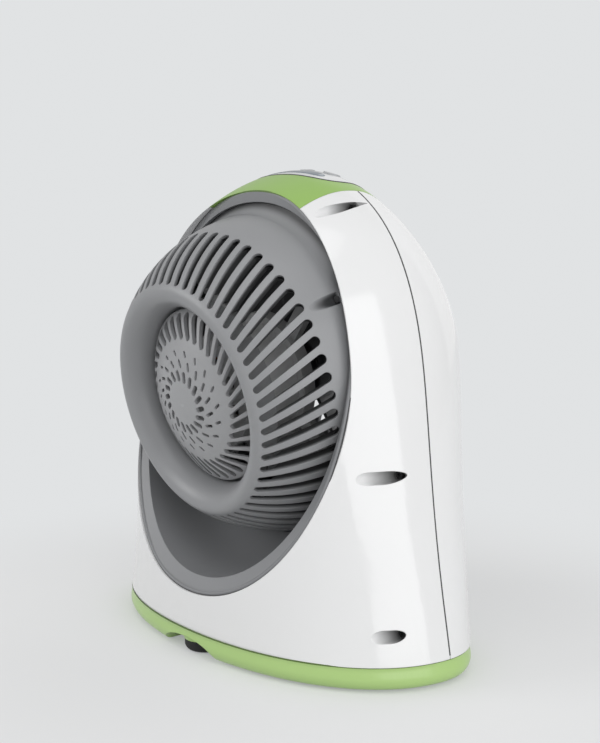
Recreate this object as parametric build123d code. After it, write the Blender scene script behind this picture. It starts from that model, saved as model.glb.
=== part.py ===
from build123d import *
import os
from math import asin, cos, pi, radians, sin, sqrt

# An air circulator fan: a ball-shaped fan head that tilts inside an egg-shaped two-shell housing,
# with a coloured top cover and base. Millimetres, +Z up, rear of the fan at +Y, front at -Y.
# The origin is under the middle of the whole fan, on the surface that it stands on.

# Housing: half widths and depths, measured from the seam between the two shells
total_height = 309.2
seam_y = -16.4                # the seam plane's place at mid height
seam_mid_height = 155.0
seam_lean = 0.02              # the seam leans forward going up, mm per mm
# height, half width, depth behind the seam, depth in front of it, fullness of the rear quarters
skirt_stations = [
    (0.0, 151.2, 92.7, 66.1, 0.590),
    (40.0, 143.5, 90.2, 72.0, 0.602),
    (70.0, 137.2, 90.1, 75.3, 0.620),
    (110.0, 130.3, 91.5, 78.8, 0.640),
    (140.0, 126.0, 96.2, 81.5, 0.625),
]
shoulder_height = 164.3
shoulder_half_width = 122.7
crown_pinch = 20.0            # how far the crown draws in above the shoulder
crown_power = 2.35
crown_rear_ratios = (0.831, 1.11, 0.607)
crown_front_ratios = (0.68, 0.864, 0.379)
crown_angles = (0.0, 15.0, 30.0, 45.0, 58.0, 70.0, 79.0, 85.5)
body_fullness = 0.608         # Bezier handle length of each quarter outline, as a share of its side
opening_fullness = 0.600
round_fullness = 0.5523
wall = 2.6
shut_gap = 0.4                # visible line between neighbouring covers
fit = 0.15                    # slip fit between a lip and a wall
lip = 1.8                     # thickness of the lips behind the shut lines
lip_reach = 4.0
cap_lip_reach = 3.0

# Base
base_height = 15.7
base_bottom = 1.0
base_edge_round = 8.0
base_floor = 2.6
notch_half_width = 29.0
notch_height = 10.9
notch_depth = 36.0
notch_fullness = 0.60

# Feet
rear_foot_radius = 14.0
rear_foot_height = 8.0
rear_foot_edge = 4.5
rear_foot_inset = 17.0        # centre of the rear foot, forward of the base's rear edge
side_foot_radius = 9.0
side_foot_height = 2.5
side_foot_x = 100.0
side_foot_rear_y = 26.0
side_foot_front_y = -40.0

# Openings in the housing and their liners
rear_opening_half_width = 109.2
rear_opening_half_height = 127.7
rear_opening_z = 168.1
rear_ring_side = 6.7          # width of the flat ring beside the bowl
rear_ring_top = 6.6
rear_ring_bottom = 10.5
rear_ring_y = 49.5            # the ring's outer edge at mid width and mid height
rear_ring_slope = 0.219
rear_ring_sag = 10.4          # how far the ring drops 100 mm from its middle
rear_bowl_pull = 22.0         # depth behind the ball's middle where the bowl turns in
rear_ring_fall = 3.0          # how far the ring slopes inwards over its full width at the bottom
lower_mouth_fullness = 0.57   # the bowl's mouth is rounder in its lower half
front_opening_half_width = 98.0
front_opening_half_height = 100.0
front_opening_z = 172.0
front_ring_width = 7.0
front_ring_y = -78.4
front_ring_slope = 0.1225
front_ring_sag = 10.9
liner_wall = 2.2
ring_thickness = 3.0
liner_gap = 0.3

# Fan head
ball_radius = 105.8
ball_y = 2.2
ball_z = 177.8
head_angle = 10.6             # the head's rear points this far down as it stands
ball_gap = 1.7                # room between the ball and its liners
head_wall = 2.5
head_joint = 0.0              # where the two head shells meet, along the head's axis
front_rim_radius = 86.5
outer_slot_count = 56
outer_slot_out_radius = 100.2
outer_slot_in_radius = 75.8
outer_slot_skew = 10.2
outer_slot_phase = 3.1
outer_slot_out_width = 6.2
outer_slot_in_width = 4.2
outer_slot_depth = 12.0       # reach of each slot's cutter on both sides of the ball's skin
fin_depth = 7.0
fin_out_radius = 96.5
fin_in_radius = 79.5
lip_radius = 75.4             # where the ball turns into the lip of the dish
lip_pull = 8.4                # how strongly the lip carries on the ball's curve
lip_rise = 16.0               # and how strongly it drops into the dish
dish_radius = 58.6
dish_height = 57.0
cover_seat_gap = 0.3           # between the motor cover's skirt and its ledge
cover_ledge = 1.8

# Motor cover, the perforated dome in the dish
dome_apex = 78.0
dome_sphere_radius = 95.0
dome_radius = 56.6
dome_skirt = 8.0
dome_slot_count = 36
dome_slot_out_radius = 55.0
dome_slot_in_radius = 39.3
dome_slot_skew = 10.3
dome_slot_phase = 2.2
dome_slot_out_width = 5.0
dome_slot_in_width = 3.4
hole_count = 18
# ring radius, first angle, swirl from the radius, length, width
hole_rings = [
    (17.6, -7.0, 24.0, 7.4, 3.2),
    (25.2, -11.0, 35.0, 6.0, 2.0),
    (31.4, -19.0, 40.0, 4.6, 1.7),
]

# Front grille
front_grille_apex = 88.0
front_grille_rim = 61.0
front_grille_skirt = 6.4
front_slot_count = 40
front_slot_out_radius = 79.0
front_slot_mid_radius = 52.0
front_slot_in_radius = 26.0
front_slot_skew = 16.0
front_slot_width = 5.4
front_badge_radius = 19.0

# Duct and impeller
duct_radius = 86.2
duct_wall = 2.0
duct_front = 54.0
duct_rear = 6.0
tip_gap = 2.2
impeller_front = 46.0
impeller_rear = 14.0
hub_radius = 27.0
hub_wall = 2.5
blade_count = 5
blade_sweep = 16.0
blade_thickness = 2.2
shaft_radius = 4.0
shaft_front = 49.0
shaft_rear = 56.5
spin_fit = 0.05

# Motor
motor_radius = 36.5
bell_wall = 2.3
bell_face = 3.0
stator_radius = 34.0
stator_bore = 17.6
stator_low = 24.0
stator_high = 42.0
rotor_gap = 0.6
winding_height = 5.0
winding_inner = 21.0
winding_outer = 31.0
winding_windows = 8
window_radius = 3.6
motor_low = 12.0
motor_high = 54.0
bearing_radius = 8.0
bearing_length = 7.0
mount_ring_inner = 95.0
mount_thickness = 5.0
mount_bottom = 3.0
mount_disc_radius = 42.0
mount_arm_width = 11.0
mount_arm_count = 4

# Tilt pivots, one on each side of the head
pin_radius = 6.0
pin_bore_radius = 3.0
pin_inner_x = 98.0
pin_outer_x = 114.4
pad_x = 106.3
pad_radius = 10.5
washer_thickness = 1.0
washer_radius = 9.5
bush_radius = 9.5
bush_outer_x = 113.4
saddle_radius = 13.0
saddle_outer_x = 115.6
pivot_gap = 0.1

# Screws
screw_radius = 1.5
screw_head_radius = 2.9
screw_head_height = 2.4
screw_hole_gap = 0.2
boss_radius = 5.5
rib_width = 2.5
well_height = 7.8
board_screw_radius = 1.0
board_screw_head_radius = 2.0
board_screw_head_height = 1.4
board_screw_length = 6.0
# centre x and z, width, turn about the front-to-rear line, seat depth behind the seam, screw length
shell_wells = [
    (63.4, 284.2, 10.4, 30.0, 9.5, 20.0),
    (120.0, 127.5, 12.0, 0.0, 17.0, 30.0),
    (133.4, 34.0, 11.0, 0.0, 24.0, 36.0),
]
head_well_angles = (33.5, 146.5, 213.5, 326.5)
head_well_radius = 3.9
head_well_ring = 104.8
head_screw_ring = 103.2
head_well_seat = 10.5
head_screw_length = 20.0
base_screw_x = 112.0
base_screw_rear_y = 11.6
base_screw_front_y = -32.4
base_screw_seat = 2.5
base_post_top = 28.4
base_screw_length = 20.0

# Top cover, control panel and buttons
cap_rear_half_width = 48.6
cap_rear_y = 20.6
cap_front_half_width = 56.0
cap_front_y = -29.4
cap_bottom = 235.0
panel_y = -28.4
panel_half_width = 45.0
panel_half_depth = 25.5
panel_fullness = 0.80
panel_rise = 0.0
panel_thickness = 3.0
window_y = -12.4
window_half_width = 30.0
window_half_depth = 4.0
window_depth = 1.2
button_radius = 5.5
button_gap = 0.3
button_rise = 0.8
button_pitch = 24.0
button_y = -24.4
button_travel = 1.0
button_flange = 1.3
button_flange_height = 1.6
board_top = 291.0
board_thickness = 1.6
control_board_width = 76.0
control_board_depth = 30.0
control_board_y = -21.4
switch_size = 6.0
switch_height = 4.0
press_gap = 0.3
panel_post_x = 34.0
panel_post_y = (-33.4, -15.4)
post_radius = 2.6

# Power board in the base
power_board_width = 96.0
power_board_depth = 52.0
power_board_y = -10.4
power_board_z = 11.0
transformer_size = (34.0, 28.0, 24.0)
capacitor_radius = 8.0
capacitor_height = 20.0
gland_x = 20.5
gland_inset = 26.0
gland_radius = 4.4
gland_flange = 6.2
gland_bore = 2.6

# Worked-out places
crown_height = total_height - shoulder_height
ball_centre = Vector(0, ball_y, ball_z)
head_plane = Plane(
    origin=ball_centre,
    x_dir=(-1, 0, 0),
    z_dir=(0, cos(radians(head_angle)), -sin(radians(head_angle))),
)
inner_ball = ball_radius - head_wall
socket_radius = ball_radius + ball_gap
far = 400.0


def seam_at(z):
    """Where the seam plane lies at a height."""
    return seam_y - seam_lean * (z - seam_mid_height)


def quarter(start, end, corner, fullness):
    """A Bezier quarter of an oval, drawn towards the corner of its box."""
    a = Vector(start)
    b = Vector(end)
    c = Vector(corner)
    return Bezier(a, a + (c - a) * fullness, b + (c - b) * fullness, b)


def body_section(z, half_width, rear, front, rear_fullness=body_fullness):
    """The housing's level outline: four quarters that meet at the seam and the middle."""
    y = seam_at(z)
    right = (half_width, y, z)
    back = (0, y + rear, z)
    left = (-half_width, y, z)
    fore = (0, y - front, z)
    edges = [
        quarter(right, back, (half_width, y + rear, z), rear_fullness),
        quarter(back, left, (-half_width, y + rear, z), rear_fullness),
        quarter(left, fore, (-half_width, y - front, z), body_fullness),
        quarter(fore, right, (half_width, y - front, z), body_fullness),
    ]
    return make_face(Wire(edges))


def bezier_ratio(ratios, u):
    """A quadratic blend from the shoulder's ratio to the top's."""
    return ratios[0] * (1 - u) ** 2 + 2 * ratios[1] * u * (1 - u) + ratios[2] * u * u


def body_blank(inset):
    """The housing's outer form drawn in by an inset, from the floor to the top."""
    faces = []
    for z, half_width, rear, front, fullness in skirt_stations:
        faces.append(body_section(z, half_width - inset, rear - inset, front - inset, fullness))
    for angle in crown_angles:
        u = sin(radians(angle)) ** (2 / crown_power)
        half_width = shoulder_half_width - crown_pinch * u * (1 - u)
        half_width = half_width * cos(radians(angle))
        share = half_width / shoulder_half_width
        rear = half_width * bezier_ratio(crown_rear_ratios, u)
        front = half_width * bezier_ratio(crown_front_ratios, u)
        z = shoulder_height + (crown_height - inset) * u
        top_inset = inset * (0.35 + 0.65 * share)
        faces.append(body_section(z, half_width - top_inset, rear - top_inset, front - top_inset))
    return loft(faces)


def skirt_at(z):
    """Half width, depths and fullness of the housing near its foot, between the first two stations."""
    low = skirt_stations[0]
    high = skirt_stations[1]
    share = (z - low[0]) / (high[0] - low[0])
    return [low[i] + (high[i] - low[i]) * share for i in (1, 2, 3, 4)]


def upright_oval(half_width, half_height, y, z, fullness):
    """A standing oval face, seen along the front-to-rear line."""
    top = (0, y, z + half_height)
    bottom = (0, y, z - half_height)
    right = (half_width, y, z)
    left = (-half_width, y, z)
    edges = [
        quarter(right, top, (half_width, y, z + half_height), fullness),
        quarter(top, left, (-half_width, y, z + half_height), fullness),
        quarter(left, bottom, (-half_width, y, z - half_height), fullness),
        quarter(bottom, right, (half_width, y, z - half_height), fullness),
    ]
    return make_face(Wire(edges))


def level_oval(half_width, half_depth, y, z, fullness):
    """A flat oval face at a height."""
    back = (0, y + half_depth, z)
    front = (0, y - half_depth, z)
    right = (half_width, y, z)
    left = (-half_width, y, z)
    edges = [
        quarter(right, back, (half_width, y + half_depth, z), fullness),
        quarter(back, left, (-half_width, y + half_depth, z), fullness),
        quarter(left, front, (-half_width, y - half_depth, z), fullness),
        quarter(front, right, (half_width, y - half_depth, z), fullness),
    ]
    return make_face(Wire(edges))


def prism(face, start_y, end_y):
    """A standing outline carried from one depth to another."""
    moved = Pos(0, start_y, 0) * face
    return extrude(moved, amount=end_y - start_y, dir=(0, 1, 0))


def behind_seam(gap):
    """Everything behind the leaning seam plane, by a gap."""
    angle = -seam_lean * 180 / pi
    block = Box(far, far, 2 * far, align=(Align.CENTER, Align.MIN, Align.CENTER))
    return Pos(0, seam_y + gap, seam_mid_height) * Rot(-angle, 0, 0) * block


def ahead_of_seam(gap):
    """Everything in front of the leaning seam plane, by a gap."""
    angle = -seam_lean * 180 / pi
    block = Box(far, far, 2 * far, align=(Align.CENTER, Align.MAX, Align.CENTER))
    return Pos(0, seam_y - gap, seam_mid_height) * Rot(-angle, 0, 0) * block


def slab(low, high):
    """A level layer between two heights."""
    return Pos(0, 0, (low + high) / 2) * Box(2 * far, 2 * far, high - low)


def rod(radius, x, y, low, high):
    """An upright round bar."""
    return Pos(x, y, (low + high) / 2) * Cylinder(radius, high - low)


def along_y(radius, x, z, low, high):
    """A round bar along the front-to-rear line."""
    return Pos(x, (low + high) / 2, z) * Rot(90, 0, 0) * Cylinder(radius, high - low)


def along_x(radius, low, high):
    """A round bar on the tilt axis."""
    return Pos((low + high) / 2, ball_y, ball_z) * Rot(0, 90, 0) * Cylinder(radius, high - low)


def cap_outline(gap):
    """The top cover's outline from above, its long sides drawn in by a gap."""
    rear = cap_rear_half_width - gap
    front = cap_front_half_width - gap
    slope = (front - rear) / (cap_front_y - cap_rear_y)
    back_half = rear + slope * (far / 2 - cap_rear_y)
    fore_half = rear + slope * (-far / 2 - cap_rear_y)
    points = [(back_half, far / 2), (-back_half, far / 2), (-fore_half, -far / 2), (fore_half, -far / 2)]
    outline = Pos(0, 0, cap_bottom) * make_face(Polyline(points, close=True))
    return extrude(outline, amount=far / 2, dir=(0, 0, 1))


def rear_opening(inset):
    face = upright_oval(
        rear_opening_half_width - inset,
        rear_opening_half_height - inset,
        0,
        rear_opening_z,
        opening_fullness,
    )
    return prism(face, ball_y, far / 2)


def front_opening(inset):
    face = upright_oval(
        front_opening_half_width - inset,
        front_opening_half_height - inset,
        0,
        front_opening_z,
        opening_fullness,
    )
    return prism(face, -far / 2, ball_y - 20.0)


def shell_well(well, outset):
    """The access well of one housing screw, from its seat out through the rear shell."""
    x, z, width, turn, seat, length = well
    seat_y = seam_at(z) + seat
    profile = SlotOverall(width + 2 * outset, well_height + 2 * outset)
    shape = extrude(profile, amount=far / 2)
    start = seat_y - (wall if outset > 0 else 0)
    return Pos(x, start, z) * Rot(-90, 0, 0) * Rot(0, 0, -turn) * shape


def both_sides(shape):
    """The shape and its mirror image across the middle."""
    return [shape, mirror(shape, about=Plane.YZ)]


def screw(length):
    """A round-head screw, head up, its seat at the origin and its shank below."""
    head = Pos(0, 0, screw_head_height / 2) * Cylinder(screw_head_radius, screw_head_height)
    shank = Pos(0, 0, -length / 2) * Cylinder(screw_radius, length)
    drive = Pos(0, 0, screw_head_height - 0.5) * Box(3.2, 0.8, 1.2)
    cross = Pos(0, 0, screw_head_height - 0.5) * Box(0.8, 3.2, 1.2)
    return head + shank - drive - cross


def shell_boss(well, outer, low, high):
    """The screw boss between two depths, with a rib that ties it to the wall."""
    x, z = well[0], well[1]
    boss = along_y(boss_radius, x, z, low, high)
    rib = Pos(x + 15, (low + high) / 2, z) * Box(30, high - low, rib_width)
    upright = Pos(x, (low + high) / 2, z + 10) * Box(rib_width, high - low, 20)
    tie = upright if z > 250 else rib
    return (boss + tie) & outer


def stud_room(well):
    """Clear space in the seam lip for the front half of a screw boss."""
    x, z = well[0], well[1]
    seam_z = seam_at(z)
    side = 2 * (boss_radius + 2 * fit)
    block = Box(side, 2 * lip_reach + 2.0, side)
    outward = Pos(0, 0, 10) if z > 250 else Pos(10, 0, 0)
    spot = Pos(x, seam_z - lip_reach - 1.0 - shut_gap / 2, z)
    return spot * block + spot * outward * block


def base_post(x, y, outer, top):
    """A post that hangs from the housing's wall down to the base tray's floor."""
    low = base_bottom + base_floor + fit
    post = rod(boss_radius, x, y, low, top)
    rib_low = base_height + lip_reach + 1.0
    rib = Pos(x + 15, y, (rib_low + top) / 2) * Box(30, rib_width, top - rib_low)
    return (post + rib) & outer


def make_housing():
    """Rear shell, front shell and top cover, cut from the same blanks."""
    outer = body_blank(0)
    cavity = body_blank(wall)
    lip_outer = body_blank(wall + fit)
    lip_inner = body_blank(wall + fit + lip)
    skin = (outer - cavity) & slab(base_height + shut_gap, far)
    rear_cut = rear_opening(0)
    front_cut = front_opening(0)
    cap_zone = cap_outline(-shut_gap)
    cap_shape = cap_outline(0)

    # Lips stay clear of the top cover's own lips and of the base
    lips_low = base_height + lip_reach + 1.0
    lip_ring = (lip_outer - lip_inner) & slab(lips_low, far)
    lip_root = (outer - lip_inner) & slab(lips_low, far)
    seam_lip = lip_ring & behind_seam(-lip_reach) & ahead_of_seam(-shut_gap / 2)
    seam_root = lip_root & behind_seam(shut_gap / 2) & ahead_of_seam(-lip_reach)
    lips = (seam_lip + seam_root) - cap_outline(-cap_lip_reach - 2 * fit)
    for well in shell_wells:
        for room in both_sides(stud_room(well)):
            lips = lips - room

    rear_shell = (skin & behind_seam(shut_gap / 2)) - rear_cut - cap_zone
    front_shell = (skin & ahead_of_seam(shut_gap / 2)) - front_cut - cap_zone
    rear_shell = rear_shell + lips
    for well in shell_wells:
        x, z, width, turn, seat, length = well
        seam_z = seam_at(z)
        seat_y = seam_z + seat
        jacket = shell_well(well, 2.0) & outer
        jacket = jacket + shell_boss(well, outer, seam_z + shut_gap / 2, seat_y)
        front_end = seat_y - length - 3.0
        stud = shell_boss(well, outer, front_end, seam_z - shut_gap / 2)
        hole = along_y(screw_radius + screw_hole_gap, x, z, front_end + 2.0, seat_y + 1)
        cutter = shell_well(well, 0)
        head_room = along_y(screw_head_radius + screw_hole_gap, x, z, seat_y, seat_y + 8.0)
        for jacket_side in both_sides(jacket):
            rear_shell = rear_shell + jacket_side
        for stud_side in both_sides(stud):
            front_shell = front_shell + stud_side
        for cut_side in both_sides(hole) + both_sides(cutter) + both_sides(head_room):
            rear_shell = rear_shell - cut_side
            front_shell = front_shell - cut_side
    for side in (1, -1):
        for y, rear in ((base_screw_rear_y, True), (base_screw_front_y, False)):
            post = base_post(base_screw_x, y, outer, base_post_top)
            post = post if side > 0 else mirror(post, about=Plane.YZ)
            hole = rod(screw_radius + 0.02, side * base_screw_x, y, 0, base_screw_length + 4.0)
            if rear:
                rear_shell = rear_shell + post - hole
            else:
                front_shell = front_shell + post - hole

    cap = (skin & cap_shape) - rear_cut - front_cut
    cap_lip = (lip_ring & cap_outline(-cap_lip_reach)) - cap_outline(lip)
    cap_root = (lip_root & cap_outline(0)) - cap_outline(lip)
    cap_lips = (cap_lip + cap_root) & slab(cap_bottom + 12.0, far)
    cap_lips = cap_lips - rear_opening(-1.0) - front_opening(-1.0)
    top_x, top_z = shell_wells[0][0], shell_wells[0][1]
    stud_bar = along_y(boss_radius + 2 * fit, top_x, top_z, -far / 4, far / 4)
    for bar in both_sides(stud_bar):
        cap_lips = cap_lips - bar
    cap = cap + cap_lips
    panel_hole = extrude(
        level_oval(panel_half_width + shut_gap, panel_half_depth + shut_gap, panel_y, 250.0, panel_fullness),
        amount=100.0,
        dir=(0, 0, 1),
    )
    cap = cap - panel_hole
    return rear_shell, front_shell, cap


def notch_tunnel(outset):
    """The arched channel through the rear of the base."""
    rear_edge = seam_at(0) + skirt_stations[0][2]
    face = upright_oval(
        notch_half_width + outset,
        notch_height + outset,
        0,
        0,
        notch_fullness,
    )
    return prism(face, rear_edge - notch_depth - outset, rear_edge + 20.0)


def rear_foot_y():
    return seam_at(0) + skirt_stations[0][2] - rear_foot_inset


def gland_y():
    return seam_at(0) + skirt_stations[0][2] - gland_inset


def base_blank(inset, low):
    """The base's form, rolled under at its lower edge."""
    faces = []
    for step in range(6):
        angle = step * 90.0 / 5
        z = base_bottom + base_edge_round * (1 - cos(radians(angle)))
        z = max(z, low) if step == 0 else z
        roll = base_edge_round * (1 - sin(radians(angle)))
        half_width, rear, front, fullness = skirt_at(z)
        edge = roll + inset
        faces.append(body_section(z, half_width - edge, rear - edge, front - edge, fullness))
    half_width, rear, front, fullness = skirt_at(base_height)
    faces.append(body_section(base_height, half_width - inset, rear - inset, front - inset, fullness))
    return loft(faces)


def make_base(lip_outer, lip_inner):
    """The base tray with its lip, posts, notch, foot seats and gland hole."""
    outer = base_blank(0, base_bottom)
    pocket = base_blank(wall, base_bottom) & slab(base_bottom + base_floor, base_height + 1)
    tray = outer - pocket
    ring = (lip_outer - lip_inner) & slab(base_height - 2.0, base_height + lip_reach)
    root = (outer - lip_inner) & slab(base_height - 3.0, base_height)
    tray = tray + ring + root
    roof = notch_tunnel(wall) & outer
    tray = tray + roof - notch_tunnel(0)
    seat = rod(rear_foot_radius + 0.5, 0, rear_foot_y(), rear_foot_height, notch_height + 1.5) & outer
    tray = tray + seat
    gland_hole = rod(gland_radius, -gland_x, gland_y(), 0, base_height)
    tray = tray - gland_hole
    for x in (side_foot_x, -side_foot_x):
        for y in (side_foot_rear_y, side_foot_front_y):
            tray = tray - rod(side_foot_radius + fit, x, y, 0, side_foot_height)
    for x in (base_screw_x, -base_screw_x):
        for y in (base_screw_rear_y, base_screw_front_y):
            tray = tray - rod(screw_radius + screw_hole_gap, x, y, 0, base_height)
            tray = tray - rod(screw_head_radius + screw_hole_gap, x, y, 0, base_screw_seat)
    for x, y in power_board_corners():
        post = rod(post_radius, x, y, base_bottom + base_floor - 0.5, power_board_z)
        tray = tray + post - rod(board_screw_radius + 0.02, x, y, base_bottom + 1.0, power_board_z)
    return tray


def power_board_corners():
    dx = power_board_width / 2 - 5.0
    dy = power_board_depth / 2 - 5.0
    return [(x, power_board_y + y) for x in (-dx, dx) for y in (-dy, dy)]


def ring_cylinder(radius, ring_y, ring_z, slope, rear):
    """A wide cylinder whose skin is the slightly bowed, leaning face of a liner's ring."""
    bar = Cylinder(radius, 2 * far)
    lean = Rot(degrees_of(slope), 0, 0)
    offset = -radius if rear else radius
    return Pos(0, ring_y, ring_z) * lean * Pos(0, offset, 0) * bar


def degrees_of(slope):
    """The angle of a slope, in degrees, for the small slopes used here."""
    return slope * (1 - slope * slope / 3) * 180 / pi


def mouth_oval(half_width, half_height, y, z, lower):
    """A standing oval whose lower half has its own fullness."""
    top = (0, y, z + half_height)
    bottom = (0, y, z - half_height)
    right = (half_width, y, z)
    left = (-half_width, y, z)
    edges = [
        quarter(right, top, (half_width, y, z + half_height), opening_fullness),
        quarter(top, left, (-half_width, y, z + half_height), opening_fullness),
        quarter(left, bottom, (-half_width, y, z - half_height), lower),
        quarter(bottom, right, (half_width, y, z - half_height), lower),
    ]
    return make_face(Wire(edges))


def bowl(outset):
    """The hollow behind the rear ring, from the ball's widest circle out to the ring."""
    ring_half_width = rear_opening_half_width - rear_ring_side
    ring_half_height = rear_opening_half_height - (rear_ring_top + rear_ring_bottom) / 2
    ring_z = rear_opening_z + (rear_ring_bottom - rear_ring_top) / 2
    sections = [
        (4.0, socket_radius, socket_radius, ball_z, round_fullness),
        (
            rear_bowl_pull,
            (socket_radius + 2 * ring_half_width) / 3,
            (socket_radius + 5 * ring_half_height) / 6,
            (ball_z + 3 * ring_z) / 4,
            lower_mouth_fullness,
        ),
        (44.0, ring_half_width, ring_half_height, ring_z, lower_mouth_fullness),
        (68.0, ring_half_width, ring_half_height, ring_z, lower_mouth_fullness),
        (100.0, ring_half_width, ring_half_height, ring_z, lower_mouth_fullness),
    ]
    faces = []
    for y, half_width, half_height, z, lower in sections:
        faces.append(mouth_oval(half_width + outset, half_height + outset, ball_y + y, z, lower))
    return loft(faces)


def ring_slope():
    """A leaning funnel that gives the ring its slope down to the bowl's mouth."""
    lean = Plane(
        origin=(0, rear_ring_y - rear_ring_slope * (rear_opening_z - seam_mid_height), rear_opening_z),
        x_dir=(1, 0, 0),
        z_dir=(0, cos(radians(degrees_of(rear_ring_slope))), sin(radians(degrees_of(rear_ring_slope)))),
    )
    stretch = 1 / cos(radians(degrees_of(rear_ring_slope)))
    half_width = rear_opening_half_width - liner_gap - 0.4
    half_height = (rear_opening_half_height - liner_gap - 0.4) * stretch
    rate = rear_ring_bottom / rear_ring_fall
    side_sag = rear_ring_sag * (half_width / 100.0) ** 2
    faces = []
    for depth in (-30.0, 10.0):
        x = half_width + (depth + side_sag) * rate
        z = half_height + depth * rate
        oval = make_face(Wire(oval_edges(x, z, opening_fullness)))
        faces.append(lean * Pos(0, 0, depth) * oval)
    return loft(faces, ruled=True)


def oval_edges(x, y, fullness):
    """The four quarters of a flat oval about the origin."""
    return [
        quarter((x, 0, 0), (0, y, 0), (x, y, 0), fullness),
        quarter((0, y, 0), (-x, 0, 0), (-x, y, 0), fullness),
        quarter((-x, 0, 0), (0, -y, 0), (-x, -y, 0), fullness),
        quarter((0, -y, 0), (x, 0, 0), (x, -y, 0), fullness),
    ]


def globe(radius):
    return Pos(0, ball_y, ball_z) * Sphere(radius)


def depth_slab(low, high):
    """A standing layer between two depths."""
    return Pos(0, (low + high) / 2, 0) * Box(2 * far, high - low, 2 * far)


def make_rear_liner():
    """Sloping ring, bowl and the rear half of the ball's socket."""
    radius = 100.0 ** 2 / (2 * rear_ring_sag)
    deep = ring_thickness + rear_ring_fall
    face = ring_cylinder(radius, rear_ring_y, seam_mid_height, rear_ring_slope, True)
    back = ring_cylinder(radius - deep, rear_ring_y - deep, seam_mid_height, rear_ring_slope, True)
    ring = (rear_opening(liner_gap) & face) - back
    wall_form = bowl(liner_wall) & face
    socket = (globe(socket_radius + liner_wall) & depth_slab(ball_y + fit, ball_y + 60.0)) & face
    liner = ring + wall_form + socket + saddle(1)
    liner = liner - bowl(0) - globe(socket_radius) - ring_slope()
    return liner - pivot_room()


def saddle(side):
    """The half-round blocks that clamp the pivot bushes, behind (1) or ahead (-1) of the axis."""
    low = ball_y + fit if side > 0 else ball_y - saddle_radius
    high = ball_y + saddle_radius if side > 0 else ball_y - fit
    half = depth_slab(low, high)
    block = along_x(saddle_radius, pad_x + washer_thickness + 0.6, saddle_outer_x) & half
    block = block & body_blank(wall + fit + lip + liner_gap)
    return block + mirror(block, about=Plane.YZ)


def pivot_room():
    """Bores for the bushes and clear space for the washers and pads."""
    bore = along_x(bush_radius, 90.0, bush_outer_x + fit)
    pin = along_x(pin_radius + fit, 90.0, pin_outer_x + fit)
    room = along_x(washer_radius + 1.2, 90.0, pad_x + washer_thickness + 3 * pivot_gap)
    shape = bore + pin + room
    return shape + mirror(shape, about=Plane.YZ)


def make_front_liner():
    """Flat ring, short funnel and the front half of the ball's socket."""
    radius = 100.0 ** 2 / (2 * front_ring_sag)
    face = ring_cylinder(radius, front_ring_y, front_opening_z, -front_ring_slope, False)
    back = ring_cylinder(
        radius - ring_thickness, front_ring_y + ring_thickness, front_opening_z, -front_ring_slope, False
    )
    ring = (front_opening(liner_gap) & face) - back
    funnel = front_opening(front_ring_width - liner_wall) & face
    hole = front_opening(front_ring_width)
    socket = globe(socket_radius + liner_wall) & depth_slab(ball_y - 64.0, ball_y - fit)
    funnel_back = funnel & depth_slab(-far / 2, ball_y - 48.0)
    liner = ring + funnel_back + socket + saddle(-1)
    liner = liner - hole - globe(socket_radius)
    return liner - pivot_room()


def head_revolve(points_face):
    """Turns a half profile, drawn with x as radius and y as height, about the head's axis."""
    upright = Rot(90, 0, 0) * points_face
    return revolve(upright, axis=Axis.Z)


def slot_cutter(out_radius, in_radius, out_width, in_width, skew, angle, low, high):
    """A tapered slot with round ends, skewed from its outer to its inner end."""
    out_r = out_radius - out_width / 2
    in_r = in_radius + in_width / 2
    in_angle = angle - skew
    outer = Vector(cos(radians(angle)) * out_r, sin(radians(angle)) * out_r)
    inner = Vector(cos(radians(in_angle)) * in_r, sin(radians(in_angle)) * in_r)
    along = (inner - outer).normalized()
    across = Vector(-along.Y, along.X)
    a = outer + across * (out_width / 2)
    b = inner + across * (in_width / 2)
    c = inner - across * (in_width / 2)
    d = outer - across * (out_width / 2)
    edges = [
        Line(a, b),
        ThreePointArc(b, inner + along * (in_width / 2), c),
        Line(c, d),
        ThreePointArc(d, outer - along * (out_width / 2), a),
    ]
    face = make_face(Wire(edges))
    return extrude(Pos(0, 0, low) * face, amount=high - low, dir=(0, 0, 1))


def ring_of_slots(count, phase, out_radius, in_radius, out_width, in_width, skew, low, high):
    cutters = []
    for i in range(count):
        angle = phase + i * 360.0 / count
        cutters.append(slot_cutter(out_radius, in_radius, out_width, in_width, skew, angle, low, high))
    return cutters


def ball_slots():
    """Tapered slots with round ends, each cut square to the ball's skin at its middle."""
    out_turn = asin(outer_slot_out_radius / ball_radius) - outer_slot_out_width / 2 / ball_radius
    in_turn = asin(outer_slot_in_radius / ball_radius) + outer_slot_in_width / 2 / ball_radius
    skew = radians(outer_slot_skew)
    outer = Vector(sin(out_turn), 0, cos(out_turn)) * ball_radius
    inner = Vector(sin(in_turn) * cos(skew), -sin(in_turn) * sin(skew), cos(in_turn)) * ball_radius
    middle = (outer + inner).normalized() * ball_radius
    half = (inner - outer).length / 2
    a = outer_slot_out_width / 2
    b = outer_slot_in_width / 2
    edges = [
        Line((-half, a), (half, b)),
        ThreePointArc((half, b), (half + b, 0), (half, -b)),
        Line((half, -b), (-half, -a)),
        ThreePointArc((-half, -a), (-half - a, 0), (-half, a)),
    ]
    place = Plane(origin=middle, x_dir=inner - outer, z_dir=middle)
    outline = Pos(0, 0, -outer_slot_depth) * make_face(Wire(edges))
    cutter = place.location * extrude(outline, amount=2 * outer_slot_depth, dir=(0, 0, 1))
    cutters = []
    for i in range(outer_slot_count):
        cutters.append(Rot(0, 0, outer_slot_phase + i * 360.0 / outer_slot_count) * cutter)
    return cutters


def sphere_height(radius, r):
    return sqrt(radius * radius - r * r)


def cover_skirt_end():
    """How far along the head's axis the motor cover's skirt ends."""
    return dome_apex - dome_sphere_radius + sphere_height(dome_sphere_radius, dome_radius) - dome_skirt


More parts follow.
